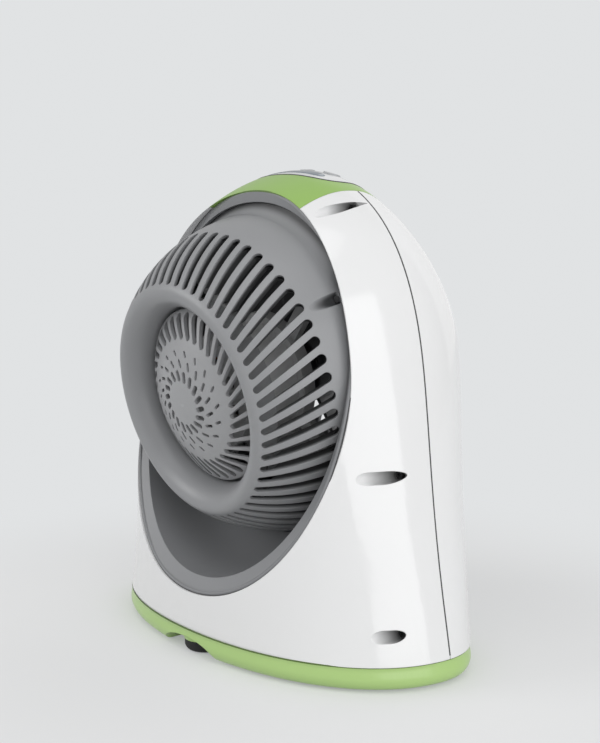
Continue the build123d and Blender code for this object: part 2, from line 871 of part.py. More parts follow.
def head_shell_profile():
    """Half profile of the rear grille: ball wall, broad lip, dish wall and collar."""
    lip_height = sphere_height(ball_radius, lip_radius)
    turn = asin(lip_radius / ball_radius)
    onward = Vector(-cos(turn), sin(turn))
    start_out = Vector(sphere_height(ball_radius, head_joint), head_joint)
    mid_out = Vector(ball_radius * cos(radians(20)), ball_radius * sin(radians(20)))
    lip_out = Vector(lip_radius, lip_height)
    dish_end = Vector(dish_radius, dish_height)
    rise = Vector(0, 1)
    ledge_top = cover_skirt_end() - cover_seat_gap
    ledge_in_radius = dome_radius - head_wall - 1.0
    collar_out = dish_radius + head_wall
    under_radius = lip_radius - 1.4
    under_lip = Vector(under_radius, sphere_height(inner_ball, under_radius))
    under_end = Vector(collar_out, dish_height - 1.0)
    inner_mid = Vector(inner_ball * cos(radians(20)), inner_ball * sin(radians(20)))
    start_in = Vector(sphere_height(inner_ball, head_joint), head_joint)
    edges = [
        ThreePointArc(start_out, mid_out, lip_out),
        Bezier(lip_out, lip_out + onward * lip_pull, dish_end + rise * lip_rise, dish_end),
        Line(dish_end, (dish_radius, ledge_top)),
        Line((dish_radius, ledge_top), (ledge_in_radius, ledge_top)),
        Line((ledge_in_radius, ledge_top), (ledge_in_radius, ledge_top - cover_ledge)),
        Line((ledge_in_radius, ledge_top - cover_ledge), (collar_out, ledge_top - cover_ledge)),
        Line((collar_out, ledge_top - cover_ledge), under_end),
        Bezier(under_end, under_end + rise * 12.0, under_lip + onward * 5.0, under_lip),
        ThreePointArc(under_lip, inner_mid, start_in),
        Line(start_in, start_out),
    ]
    return make_face(Wire(edges))


def fin_band_profile():
    """Half profile of the deep fins behind the ribs."""
    deep = ball_radius - fin_depth
    shallow = inner_ball + 0.4
    a = (fin_out_radius, sphere_height(shallow, fin_out_radius))
    b = (fin_in_radius, sphere_height(shallow, fin_in_radius))
    c = (fin_in_radius - 1.5, sphere_height(deep, fin_in_radius - 1.5))
    d = (fin_out_radius - 1.5, sphere_height(deep, fin_out_radius - 1.5))
    top_mid = (shallow * sin(radians(58)), shallow * cos(radians(58)))
    low_mid = (deep * sin(radians(58)), deep * cos(radians(58)))
    edges = [
        ThreePointArc(a, top_mid, b),
        Line(b, c),
        ThreePointArc(c, low_mid, d),
        Line(d, a),
    ]
    return make_face(Wire(edges))


def head_bosses(low, high, outer_radius):
    """Round bosses for the head's four screws, kept inside the ball."""
    group = []
    for angle in head_well_angles:
        x = head_screw_ring * cos(radians(angle))
        y = head_screw_ring * sin(radians(angle))
        group.append(rod(boss_radius, x, y, low, high) & Sphere(outer_radius))
    return group


def head_holes(radius, low, high, ring=head_screw_ring):
    group = []
    for angle in head_well_angles:
        x = ring * cos(radians(angle))
        y = ring * sin(radians(angle))
        group.append(rod(radius, x, y, low, high))
    return group


def pivot_in_head(radius, low, high):
    """A bar on the tilt axis and its mirror image, in the head's own frame."""
    bar = Pos((low + high) / 2, 0, 0) * Rot(0, 90, 0) * Cylinder(radius, high - low)
    return bar + mirror(bar, about=Plane.YZ)


def make_rear_grille():
    """The ball's rear shell with its ring of slots, in the head's own frame."""
    shell = head_revolve(head_shell_profile()) + head_revolve(fin_band_profile())
    rear_half = Pos(0, 0, far / 2 + head_joint) * Box(far, far, far)
    shell = shell + (pivot_in_head(pad_radius, pin_inner_x, pad_x) & rear_half)
    shell = shell - ball_slots()
    mount_top = mount_bottom + mount_thickness
    shell = shell + head_bosses(mount_top + fit, head_well_seat + 14.0, ball_radius - 0.5)
    shell = shell - head_holes(head_well_radius, head_well_seat, 60.0, head_well_ring)
    shell = shell - head_holes(board_screw_radius + screw_hole_gap, 0, 30.0)
    return shell - pivot_in_head(pin_radius + 0.02, 80.0, 120.0)


def make_motor_cover():
    """The domed cover in the dish, with a ring of slots and swirled holes."""
    centre = dome_apex - dome_sphere_radius
    rim = centre + sphere_height(dome_sphere_radius, dome_radius)
    inner_radius = dome_sphere_radius - head_wall
    skirt_in = dome_radius - head_wall
    inner_rim = centre + sphere_height(inner_radius, skirt_in)
    mid = dome_radius * 0.55
    edges = [
        ThreePointArc(
            (0, dome_apex),
            (mid, centre + sphere_height(dome_sphere_radius, mid)),
            (dome_radius, rim),
        ),
        Line((dome_radius, rim), (dome_radius, rim - dome_skirt)),
        Line((dome_radius, rim - dome_skirt), (skirt_in, rim - dome_skirt)),
        Line((skirt_in, rim - dome_skirt), (skirt_in, inner_rim)),
        ThreePointArc(
            (skirt_in, inner_rim),
            (mid, centre + sphere_height(inner_radius, mid)),
            (0, dome_apex - head_wall),
        ),
        Line((0, dome_apex - head_wall), (0, dome_apex)),
    ]
    cover = head_revolve(make_face(Wire(edges)))
    slots = ring_of_slots(
        dome_slot_count,
        dome_slot_phase,
        dome_slot_out_radius,
        dome_slot_in_radius,
        dome_slot_out_width,
        dome_slot_in_width,
        dome_slot_skew,
        40.0,
        100.0,
    )
    cover = cover - slots
    holes = []
    for ring_radius, first, swirl, length, width in hole_rings:
        for i in range(hole_count):
            angle = first + i * 360.0 / hole_count
            profile = extrude(SlotOverall(length, width), amount=30.0)
            hole = Rot(0, 0, angle) * Pos(ring_radius, 0, 60.0) * Rot(0, 0, swirl) * profile
            holes.append(hole)
    return cover - holes


def make_head_front():
    """The ball's front shell with the duct that surrounds the impeller."""
    rim_height = -sphere_height(ball_radius, front_rim_radius)
    inner_rim_height = -sphere_height(inner_ball, front_rim_radius)
    low = head_joint - shut_gap / 2
    duct_outer = duct_radius + duct_wall
    edges = [
        ThreePointArc(
            (sphere_height(ball_radius, low), low),
            (ball_radius * cos(radians(17)), -ball_radius * sin(radians(17))),
            (front_rim_radius, rim_height),
        ),
        Line((front_rim_radius, rim_height), (front_rim_radius, inner_rim_height)),
        ThreePointArc(
            (front_rim_radius, inner_rim_height),
            (inner_ball * cos(radians(16)), -inner_ball * sin(radians(16))),
            (sphere_height(inner_ball, low), low),
        ),
        Line((sphere_height(inner_ball, low), low), (sphere_height(ball_radius, low), low)),
    ]
    shell = head_revolve(make_face(Wire(edges)))
    tube = rod(duct_outer, 0, 0, -duct_front, -duct_rear) - rod(duct_radius, 0, 0, -far / 4, far / 4)
    shell = shell + (tube & Sphere(inner_ball + 1.0))
    front_half = Pos(0, 0, low - far / 2) * Box(far, far, far)
    shell = shell + (pivot_in_head(pad_radius, pin_inner_x, pad_x) & front_half)
    shell = shell + head_bosses(low - 14.0, low, ball_radius - 0.5)
    shell = shell + head_bosses(low - 1.0, mount_bottom - fit, inner_ball - liner_gap)
    shell = shell - rod(duct_radius, 0, 0, -far / 4, far / 4)
    shell = shell - head_holes(board_screw_radius + 0.02, low - 13.0, mount_bottom)
    return shell - pivot_in_head(pin_radius + 0.02, 80.0, 120.0)


def make_front_grille():
    """The domed front grille: two rings of swirled slots round a plain badge."""
    rim = front_rim_radius - fit
    rise = front_grille_apex - front_grille_rim
    radius = (rim * rim + rise * rise) / (2 * rise)
    centre = -front_grille_apex + radius
    inner = radius - head_wall
    skirt_in = rim - 3.0
    skirt_end = -front_grille_rim + front_grille_skirt
    mid = rim * 0.55
    edges = [
        ThreePointArc(
            (0, -front_grille_apex),
            (mid, centre - sphere_height(radius, mid)),
            (rim, -front_grille_rim),
        ),
        Line((rim, -front_grille_rim), (rim, skirt_end)),
        Line((rim, skirt_end), (skirt_in, skirt_end)),
        Line((skirt_in, skirt_end), (skirt_in, centre - sphere_height(inner, skirt_in))),
        ThreePointArc(
            (skirt_in, centre - sphere_height(inner, skirt_in)),
            (mid, centre - sphere_height(inner, mid)),
            (0, -front_grille_apex + head_wall),
        ),
        Line((0, -front_grille_apex + head_wall), (0, -front_grille_apex)),
    ]
    grille = head_revolve(make_face(Wire(edges)))
    outer_ring = ring_of_slots(
        front_slot_count,
        0.0,
        front_slot_out_radius,
        front_slot_mid_radius,
        front_slot_width + 1.6,
        front_slot_width - 0.6,
        front_slot_skew,
        -100.0,
        -50.0,
    )
    inner_ring = ring_of_slots(
        front_slot_count // 2,
        -front_slot_skew,
        front_slot_mid_radius - 3.0,
        front_slot_in_radius,
        front_slot_width + 1.6,
        front_slot_width - 1.2,
        front_slot_skew * 1.4,
        -100.0,
        -50.0,
    )
    return grille - outer_ring - inner_ring


def make_badge():
    """A plain round cap in the middle of the front grille."""
    low = -front_grille_apex
    disc = rod(front_badge_radius, 0, 0, low - 1.2, low)
    disc = fillet(disc.edges().group_by(Axis.Z)[0], 1.0)
    rise = front_grille_apex - front_grille_rim
    rim = front_rim_radius - fit
    radius = (rim * rim + rise * rise) / (2 * rise)
    dome = Pos(0, 0, -front_grille_apex + radius) * Sphere(radius)
    plug = rod(front_badge_radius, 0, 0, low, low + 3.0) - dome
    return disc + plug


def make_motor_mount():
    """A spider that carries the motor: outer ring, arms and a centre disc with a bearing hole."""
    low = mount_bottom
    high = mount_bottom + mount_thickness
    outer = sphere_height(inner_ball, high) - liner_gap
    ring = rod(outer, 0, 0, low, high) - rod(mount_ring_inner, 0, 0, low - 1, high + 1)
    shape = ring + rod(mount_disc_radius, 0, 0, low, high)
    for i in range(mount_arm_count):
        angle = 45.0 + i * 360.0 / mount_arm_count
        arm = Rot(0, 0, angle) * Pos((mount_ring_inner + mount_disc_radius) / 2, 0, (low + high) / 2)
        arm = arm * Box(mount_ring_inner - mount_disc_radius + 6.0, mount_arm_width, mount_thickness)
        shape = shape + arm
    shape = shape + rod(mount_disc_radius, 0, 0, high - 0.5, motor_low)
    shape = shape - rod(bearing_radius + 4.0, 0, 0, low - 1, motor_low + 1)
    shape = shape - head_holes(board_screw_radius + screw_hole_gap, low - 1, high + 1)
    for x, y in motor_screw_places():
        shape = shape - rod(screw_radius + screw_hole_gap, x, y, low - 1, motor_low + 1)
        shape = shape - rod(screw_head_radius + screw_hole_gap, x, y, low - 1, low + screw_head_height)
    return shape - pivot_in_head(pad_radius + liner_gap, pin_inner_x - liner_gap, 120.0)


def motor_screw_places():
    places = []
    for i in range(4):
        angle = radians(i * 90.0)
        places.append((28.0 * cos(angle), 28.0 * sin(angle)))
    return places


def make_front_bell():
    """The motor's front end bell: a shallow cup with a bearing pocket."""
    low = motor_low
    face = rod(motor_radius, 0, 0, low, low + bell_face)
    side = rod(motor_radius, 0, 0, low, (stator_low + stator_high) / 2) - rod(
        motor_radius - bell_wall, 0, 0, low, far / 4
    )
    boss = rod(bearing_radius + 3.0, 0, 0, low, low + bearing_length + 1.0)
    bell = face + side + boss
    bell = bell - rod(bearing_radius + spin_fit, 0, 0, low + 1.0, low + bearing_length + 2.0)
    bell = bell - rod(shaft_radius + 1.0, 0, 0, low - 1, low + 2)
    for x, y in motor_screw_places():
        bell = bell - rod(screw_radius + 0.02, x, y, low - 1, low + bell_face + 1)
    return bell


def make_rear_bell():
    """The motor's rear end bell, with round vents."""
    high = motor_high
    face = rod(motor_radius, 0, 0, high - bell_face, high)
    side = rod(motor_radius, 0, 0, (stator_low + stator_high) / 2 + 0.1, high) - rod(
        motor_radius - bell_wall, 0, 0, 0, high - bell_face
    )
    boss = rod(bearing_radius + 3.0, 0, 0, high - bearing_length - 1.0, high)
    bell = face + side + boss
    bell = bell - rod(bearing_radius + spin_fit, 0, 0, 0, high - 1.0)
    bell = bell - rod(shaft_radius + 1.0, 0, 0, 0, high + 1)
    for i in range(8):
        angle = radians(22.5 + i * 45.0)
        bell = bell - rod(4.2, 24.0 * cos(angle), 24.0 * sin(angle), high - 4, high + 1)
    return bell


def make_stator():
    """The laminated stator ring with round winding windows."""
    ring = rod(stator_radius, 0, 0, stator_low, stator_high) - rod(stator_bore, 0, 0, 0, far / 4)
    middle = (winding_inner + winding_outer) / 2
    for i in range(winding_windows):
        angle = radians(i * 360.0 / winding_windows)
        ring = ring - rod(window_radius, middle * cos(angle), middle * sin(angle), 0, far / 4)
    return ring


def make_windings():
    """Coil ends above and below the stator, with the bars that pass through its windows."""
    low = stator_low - winding_height
    high = stator_high + winding_height
    core = rod(winding_outer, 0, 0, low, high) - rod(winding_inner, 0, 0, 0, far / 4)
    middle = (winding_inner + winding_outer) / 2
    shape = (core & slab(low, stator_low)) + (core & slab(stator_high, high))
    for i in range(winding_windows):
        angle = radians(i * 360.0 / winding_windows)
        shape = shape + rod(window_radius - 0.1, middle * cos(angle), middle * sin(angle), low, high)
    return shape


def make_bearing(low):
    sleeve = rod(bearing_radius, 0, 0, low, low + bearing_length)
    return sleeve - rod(shaft_radius + spin_fit, 0, 0, 0, far / 4)


def make_shaft():
    """The motor shaft, with a flat where the impeller sits and a threaded-size front end."""
    bar = rod(shaft_radius, 0, 0, -shaft_front, shaft_rear)
    flat = Pos(0, shaft_radius + 3.0, -(impeller_front + impeller_rear) / 2) * Box(12, 8, 28)
    bar = bar - flat
    return chamfer(bar.edges().group_by(Axis.Z)[-1], 0.6)


def make_rotor():
    core = rod(stator_bore - rotor_gap, 0, 0, stator_low - 1.0, stator_high + 1.0)
    rings = rod(stator_bore - rotor_gap - 2.0, 0, 0, stator_low - 2.5, stator_high + 2.5)
    return (core + rings) - rod(shaft_radius, 0, 0, 0, far / 4)


def make_impeller():
    """A cup-shaped hub with swept blades, each a tilted strip cut by the duct's clearance."""
    front = -impeller_front
    rear = -impeller_rear
    hub = rod(hub_radius, 0, 0, front, rear)
    hub = fillet(hub.edges().group_by(Axis.Z)[0], 8.0)
    hub = hub - rod(hub_radius - hub_wall, 0, 0, front + 10.0, rear + 1)
    hub = hub + rod(shaft_radius + 4.0, 0, 0, front + 2.0, rear - 1.0)
    tip = duct_radius - tip_gap
    blades = []
    for i in range(blade_count):
        blades.append(Rot(0, 0, i * 360.0 / blade_count) * make_blade(tip))
    wheel = hub + blades
    d_hole = rod(shaft_radius + 0.02, 0, 0, front - 1, rear + 1)
    return wheel - d_hole


def make_blade(tip):
    """One blade, lofted from a steep root to a flatter, swept tip."""
    faces = []
    for share in (0.0, 0.33, 0.67, 1.0):
        radius = hub_radius - 2.0 + (tip - hub_radius + 2.0) * share
        chord = 40.0 + 22.0 * share
        pitch = 52.0 - 24.0 * share
        sweep = -blade_sweep * share * share
        strip = Rectangle(chord, blade_thickness)
        middle = -(impeller_front + impeller_rear) / 2
        place = Plane(
            origin=(radius * cos(radians(sweep)), radius * sin(radians(sweep)), middle),
            x_dir=(
                -sin(radians(sweep)) * cos(radians(pitch)),
                cos(radians(sweep)) * cos(radians(pitch)),
                sin(radians(pitch)),
            ),
            z_dir=(cos(radians(sweep)), sin(radians(sweep)), 0),
        )
        faces.append(place * strip)
    blade = loft(faces)
    limit = rod(tip, 0, 0, -impeller_front, -impeller_rear) - rod(hub_radius - 1.5, 0, 0, -far / 4, far / 4)
    return blade & limit


def make_impeller_nut():
    """A domed hexagon nut on the end of the shaft."""
    hexagon = extrude(Pos(0, 0, -impeller_front - 6.0) * RegularPolygon(7.0, 6), amount=6.0)
    return hexagon - rod(shaft_radius, 0, 0, -shaft_front, far / 4)


def on_head(shape):
    """Carries a piece from the head's own frame to its place in the housing."""
    return head_plane.location * shape


def make_panel():
    """The control panel: a thin cover over the crown with posts for its board."""
    top = body_blank(-panel_rise)
    under = body_blank(panel_thickness - panel_rise)
    outline = level_oval(panel_half_width, panel_half_depth, panel_y, 250.0, panel_fullness)
    column = extrude(outline, amount=100.0, dir=(0, 0, 1))
    panel = (top - under) & column & slab(262.0, far)
    window = window_column(fit)
    panel = panel - (window - body_blank(window_depth - panel_rise + 0.3))
    posts = []
    for x in (-panel_post_x, panel_post_x):
        for y in panel_post_y:
            posts.append(rod(post_radius, x, y, board_top, far) & top)
    panel = panel + posts
    for x in button_places():
        panel = panel - rod(button_radius + button_gap, x, button_y, 250.0, far)
    for x in (-panel_post_x, panel_post_x):
        for y in panel_post_y:
            hole_top = board_top + board_screw_length
            panel = panel - rod(board_screw_radius + 0.02, x, y, board_top - 1, hole_top)
    return panel


def window_column(outset):
    return extrude(
        level_oval(window_half_width + outset, window_half_depth + outset, window_y, 250.0, panel_fullness),
        amount=100.0,
        dir=(0, 0, 1),
    )


def make_window():
    """The smoked strip over the indicator lamps."""
    blank = body_blank(-panel_rise - 0.2) - body_blank(window_depth - panel_rise)
    return blank & window_column(0) & slab(262.0, far)


def button_places():
    return [-button_pitch, 0.0, button_pitch]


def make_button(x):
    """A push button with a flange that keeps it under the panel."""
    bottom = board_top + switch_height + press_gap + button_travel
    stem = rod(button_radius, x, button_y, bottom, far) & body_blank(-panel_rise - button_rise)
    flange = rod(button_radius + button_flange, x, button_y, bottom, bottom + button_flange_height)
    return stem + flange


def make_control_board():
    low = board_top - board_thickness
    board = Pos(0, control_board_y, (low + board_top) / 2) * Box(
        control_board_width, control_board_depth, board_thickness
    )
    for x in (-panel_post_x, panel_post_x):
        for y in panel_post_y:
            board = board - rod(board_screw_radius + screw_hole_gap, x, y, low - 1, board_top + 1)
    return board


def make_switches():
    """One press switch under each button."""
    group = []
    for x in button_places():
        body_height = switch_height - 1.0
        body = Pos(x, button_y, board_top + body_height / 2) * Box(switch_size, switch_size, body_height)
        plunger = rod(1.6, x, button_y, board_top + switch_height - 1.5, board_top + switch_height)
        group.append(body + plunger)
    return Compound(children=group)


def board_screw(x, y, seat, length, way):
    """A small board screw; its head is above the seat (way 1) or below it (way -1)."""
    head_end = seat + way * board_screw_head_height
    shank_end = seat - way * length
    head = rod(board_screw_head_radius, x, y, min(seat, head_end), max(seat, head_end))
    return head + rod(board_screw_radius, x, y, min(seat, shank_end), max(seat, shank_end))


def save(name, shape):
    export_step(shape, os.path.join("parts", name + ".step"))


def single(shape):
    """The one solid of a finished piece."""
    solids = shape.solids()
    if len(solids) == 1:
        return solids[0]
    biggest = sorted(solids, key=lambda s: s.volume)
    return biggest[-1]


def group_of(shapes):
    solids = []
    for shape in shapes:
        solids.extend(shape.solids())
    return Compound(children=solids)


def main():
    os.makedirs("parts", exist_ok=True)
    rear_shell, front_shell, cap = make_housing()
    save("rear_shell", single(rear_shell))
    save("front_shell", single(front_shell))
    save("top_cover", single(cap))
    lip_outer = body_blank(wall + fit)
    lip_inner = body_blank(wall + fit + lip)
    save("base_tray", single(make_base(lip_outer, lip_inner)))
    save("rear_liner", single(make_rear_liner()))
    save("front_liner", single(make_front_liner()))
    save("control_panel", single(make_panel()))
    save("display_window", single(make_window()))
    save("control_board", single(make_control_board()))
    save("press_switches", make_switches())
    names = ("timer_button", "power_button", "speed_button")
    for name, x in zip(names, button_places()):
        save(name, single(make_button(x)))

    # Feet, screws and small fittings of the housing
    rear_foot = rod(rear_foot_radius, 0, rear_foot_y(), 0, rear_foot_height)
    rear_foot = fillet(rear_foot.edges().sort_by(Axis.Z)[0], rear_foot_edge)
    save("rear_foot", single(rear_foot))
    side_feet = []
    for x in (-side_foot_x, side_foot_x):
        for y in (side_foot_front_y, side_foot_rear_y):
            side_feet.append(rod(side_foot_radius, x, y, 0, side_foot_height))
    save("side_feet", group_of(side_feet))
    shell_screws = []
    for x, z, width, turn, seat, length in shell_wells:
        for side in (-1, 1):
            place = Pos(side * x, seam_at(z) + seat, z) * Rot(-90, 0, 0)
            shell_screws.append(place * screw(length))
    save("shell_screws", group_of(shell_screws))
    base_screws = []
    for x in (-base_screw_x, base_screw_x):
        for y in (base_screw_front_y, base_screw_rear_y):
            base_screws.append(Pos(x, y, base_screw_seat) * Rot(180, 0, 0) * screw(base_screw_length))
    save("base_screws", group_of(base_screws))
    gland_low = notch_height - 4.0
    gland = rod(gland_radius, -gland_x, gland_y(), gland_low, base_height)
    gland = gland + rod(gland_flange, -gland_x, gland_y(), base_height - 2.0, base_height)
    save("cord_gland", single(gland - rod(gland_bore, -gland_x, gland_y(), 0, far)))
    board = Pos(0, power_board_y, power_board_z + board_thickness / 2) * Box(
        power_board_width, power_board_depth, board_thickness
    )
    board_screws = []
    board_high = power_board_z + board_thickness
    for x, y in power_board_corners():
        board = board - rod(board_screw_radius + screw_hole_gap, x, y, 0, far)
        board_screws.append(board_screw(x, y, board_high, board_screw_length, 1))
    for x in (-panel_post_x, panel_post_x):
        for y in panel_post_y:
            board_screws.append(board_screw(x, y, board_top - board_thickness, board_screw_length, -1))
    save("board_screws", group_of(board_screws))
    save("power_board", single(board))
    transformer = Pos(-22.0, power_board_y, board_high + transformer_size[2] / 2) * Box(*transformer_size)
    save("transformer", single(transformer))
    can = rod(capacitor_radius, 24.0, power_board_y, board_high, board_high + capacitor_height)
    save("capacitor", single(can))

    # Pivots
    bush = along_x(bush_radius, pad_x + washer_thickness + 2 * pivot_gap, bush_outer_x)
    bush = bush - along_x(pin_radius + spin_fit, 0, far / 2)
    washer = along_x(washer_radius, pad_x + pivot_gap, pad_x + pivot_gap + washer_thickness)
    washer = washer - along_x(pin_radius + spin_fit, 0, far / 2)
    pin = along_x(pin_radius, pin_inner_x, pin_outer_x) - along_x(pin_bore_radius, 0, far / 2)
    save("pivot_bushes", group_of(both_sides(bush)))
    save("friction_washers", group_of(both_sides(washer)))
    save("pivot_pins", group_of(both_sides(pin)))

    # Head
    save("rear_grille", single(on_head(make_rear_grille())))
    save("motor_cover", single(on_head(make_motor_cover())))
    save("head_front_shell", single(on_head(make_head_front())))
    save("front_grille", single(on_head(make_front_grille())))
    save("front_badge", single(on_head(make_badge())))
    save("motor_mount", single(on_head(make_motor_mount())))
    save("motor_front_bell", single(on_head(make_front_bell())))
    save("motor_rear_bell", single(on_head(make_rear_bell())))
    save("stator_core", single(on_head(make_stator())))
    save("stator_windings", single(on_head(make_windings())))
    save("front_bearing", single(on_head(make_bearing(motor_low + 1.0))))
    save("rear_bearing", single(on_head(make_bearing(motor_high - 1.0 - bearing_length))))
    head_screws = []
    for angle in head_well_angles:
        x = head_screw_ring * cos(radians(angle))
        y = head_screw_ring * sin(radians(angle))
        head_screws.append(on_head(board_screw(x, y, head_well_seat, head_screw_length, 1)))
    save("head_screws", group_of(head_screws))
    motor_screws = []
    for x, y in motor_screw_places():
        place = Pos(x, y, mount_bottom + screw_head_height) * Rot(180, 0, 0)
        motor_screws.append(on_head(place * screw(motor_low - mount_bottom)))
    save("motor_screws", group_of(motor_screws))

    # Turning parts
    save("shaft", single(on_head(make_shaft())))
    save("rotor_core", single(on_head(make_rotor())))
    save("impeller", single(on_head(make_impeller())))
    save("impeller_nut", single(on_head(make_impeller_nut())))


if __name__ == "__main__":
    main()
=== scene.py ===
import math
import bpy
import numpy as np
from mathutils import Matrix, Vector


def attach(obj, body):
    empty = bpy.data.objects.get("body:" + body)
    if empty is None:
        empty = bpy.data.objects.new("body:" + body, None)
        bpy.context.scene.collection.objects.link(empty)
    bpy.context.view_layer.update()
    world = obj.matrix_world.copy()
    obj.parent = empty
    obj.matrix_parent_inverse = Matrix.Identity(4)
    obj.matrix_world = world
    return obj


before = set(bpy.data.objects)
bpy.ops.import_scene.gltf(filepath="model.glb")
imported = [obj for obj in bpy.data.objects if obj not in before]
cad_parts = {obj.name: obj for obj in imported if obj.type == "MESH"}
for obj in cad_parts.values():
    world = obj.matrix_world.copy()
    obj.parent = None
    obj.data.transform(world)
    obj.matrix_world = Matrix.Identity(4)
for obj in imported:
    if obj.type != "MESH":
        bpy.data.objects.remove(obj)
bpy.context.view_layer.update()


def newGroup(name, inputs, outputs):
    # an empty shader group with named sockets
    group = bpy.data.node_groups.new(name, "ShaderNodeTree")
    for label, kind, value in inputs:
        socket = group.interface.new_socket(name=label, in_out="INPUT", socket_type=kind)
        if value is not None:
            socket.default_value = value
    for label, kind in outputs:
        group.interface.new_socket(name=label, in_out="OUTPUT", socket_type=kind)
    start = group.nodes.new("NodeGroupInput")
    end = group.nodes.new("NodeGroupOutput")
    return group, start, end


def node(tree, kind, settings=None, **values):
    # one shader node with its settings and unlinked input values, by socket name or as i and its number
    made = tree.nodes.new(kind)
    for key, value in (settings or {}).items():
        setattr(made, key, value)
    for key, value in values.items():
        numbered = key[0] == "i" and key[1:].isdigit()
        socket = made.inputs[int(key[1:]) if numbered else key.replace("_", " ")]
        socket.default_value = value
    return made


def join(tree, fromSocket, toSocket):
    tree.links.new(fromSocket, toSocket)


def makeMouldingGroup():
    # moulded plastic: a fine even texture for the normal, and slow changes of tone and sheen
    group, start, end = newGroup(
        "mouldedSkin",
        [("Colour", "NodeSocketColor", (0.5, 0.5, 0.5, 1)), ("Tone Change", "NodeSocketFloat", 0.03),
         ("Roughness", "NodeSocketFloat", 0.3), ("Roughness Change", "NodeSocketFloat", 0.05),
         ("Grain Scale", "NodeSocketFloat", 1800.0), ("Grain Depth", "NodeSocketFloat", 0.05),
         ("Edge Radius", "NodeSocketFloat", 0.0007)],
        [("Colour", "NodeSocketColor"), ("Roughness", "NodeSocketFloat"), ("Normal", "NodeSocketVector")])
    place = node(group, "ShaderNodeTexCoord")
    slow = node(group, "ShaderNodeTexNoise", Scale=22.0, Detail=3.0)
    join(group, place.outputs["Object"], slow.inputs["Vector"])
    centred = node(group, "ShaderNodeMath", {"operation": "SUBTRACT"}, i1=0.5)
    join(group, slow.outputs["Fac"], centred.inputs[0])
    tone = node(group, "ShaderNodeMath", {"operation": "MULTIPLY_ADD"}, i2=1.0)
    join(group, centred.outputs[0], tone.inputs[0])
    join(group, start.outputs["Tone Change"], tone.inputs[1])
    shade = node(group, "ShaderNodeVectorMath", {"operation": "SCALE"})
    join(group, start.outputs["Colour"], shade.inputs[0])
    join(group, tone.outputs[0], shade.inputs["Scale"])
    join(group, shade.outputs[0], end.inputs["Colour"])
    smear = node(group, "ShaderNodeTexNoise", Scale=60.0, Detail=4.0)
    join(group, place.outputs["Object"], smear.inputs["Vector"])
    smearCentred = node(group, "ShaderNodeMath", {"operation": "SUBTRACT"}, i1=0.5)
    join(group, smear.outputs["Fac"], smearCentred.inputs[0])
    rough = node(group, "ShaderNodeMath", {"operation": "MULTIPLY_ADD", "use_clamp": True})
    join(group, smearCentred.outputs[0], rough.inputs[0])
    join(group, start.outputs["Roughness Change"], rough.inputs[1])
    join(group, start.outputs["Roughness"], rough.inputs[2])
    join(group, rough.outputs[0], end.inputs["Roughness"])
    grain = node(group, "ShaderNodeTexNoise", Detail=2.0)
    join(group, place.outputs["Object"], grain.inputs["Vector"])
    join(group, start.outputs["Grain Scale"], grain.inputs["Scale"])
    softEdge = node(group, "ShaderNodeBevel", {"samples": 6})
    join(group, start.outputs["Edge Radius"], softEdge.inputs["Radius"])
    bump = node(group, "ShaderNodeBump", Distance=0.0001)
    join(group, softEdge.outputs["Normal"], bump.inputs["Normal"])
    join(group, grain.outputs["Fac"], bump.inputs["Height"])
    join(group, start.outputs["Grain Depth"], bump.inputs["Strength"])
    join(group, bump.outputs["Normal"], end.inputs["Normal"])
    return group


def makeDustGroup():
    # a thin pale film on faces that look upwards, broken up by noise
    group, start, end = newGroup(
        "settledDust",
        [("Amount", "NodeSocketFloat", 0.1), ("Scale", "NodeSocketFloat", 90.0)],
        [("Mask", "NodeSocketFloat")])
    place = node(group, "ShaderNodeTexCoord")
    split = node(group, "ShaderNodeSeparateXYZ")
    join(group, place.outputs["Normal"], split.inputs[0])
    upward = node(group, "ShaderNodeMapRange", i1=0.2, i2=0.95)
    join(group, split.outputs["Z"], upward.inputs["Value"])
    specks = node(group, "ShaderNodeTexNoise", Detail=5.0)
    join(group, place.outputs["Object"], specks.inputs["Vector"])
    join(group, start.outputs["Scale"], specks.inputs["Scale"])
    broken = node(group, "ShaderNodeMath", {"operation": "MULTIPLY"})
    join(group, upward.outputs["Result"], broken.inputs[0])
    join(group, specks.outputs["Fac"], broken.inputs[1])
    mask = node(group, "ShaderNodeMath", {"operation": "MULTIPLY", "use_clamp": True})
    join(group, broken.outputs[0], mask.inputs[0])
    join(group, start.outputs["Amount"], mask.inputs[1])
    join(group, mask.outputs[0], end.inputs["Mask"])
    return group


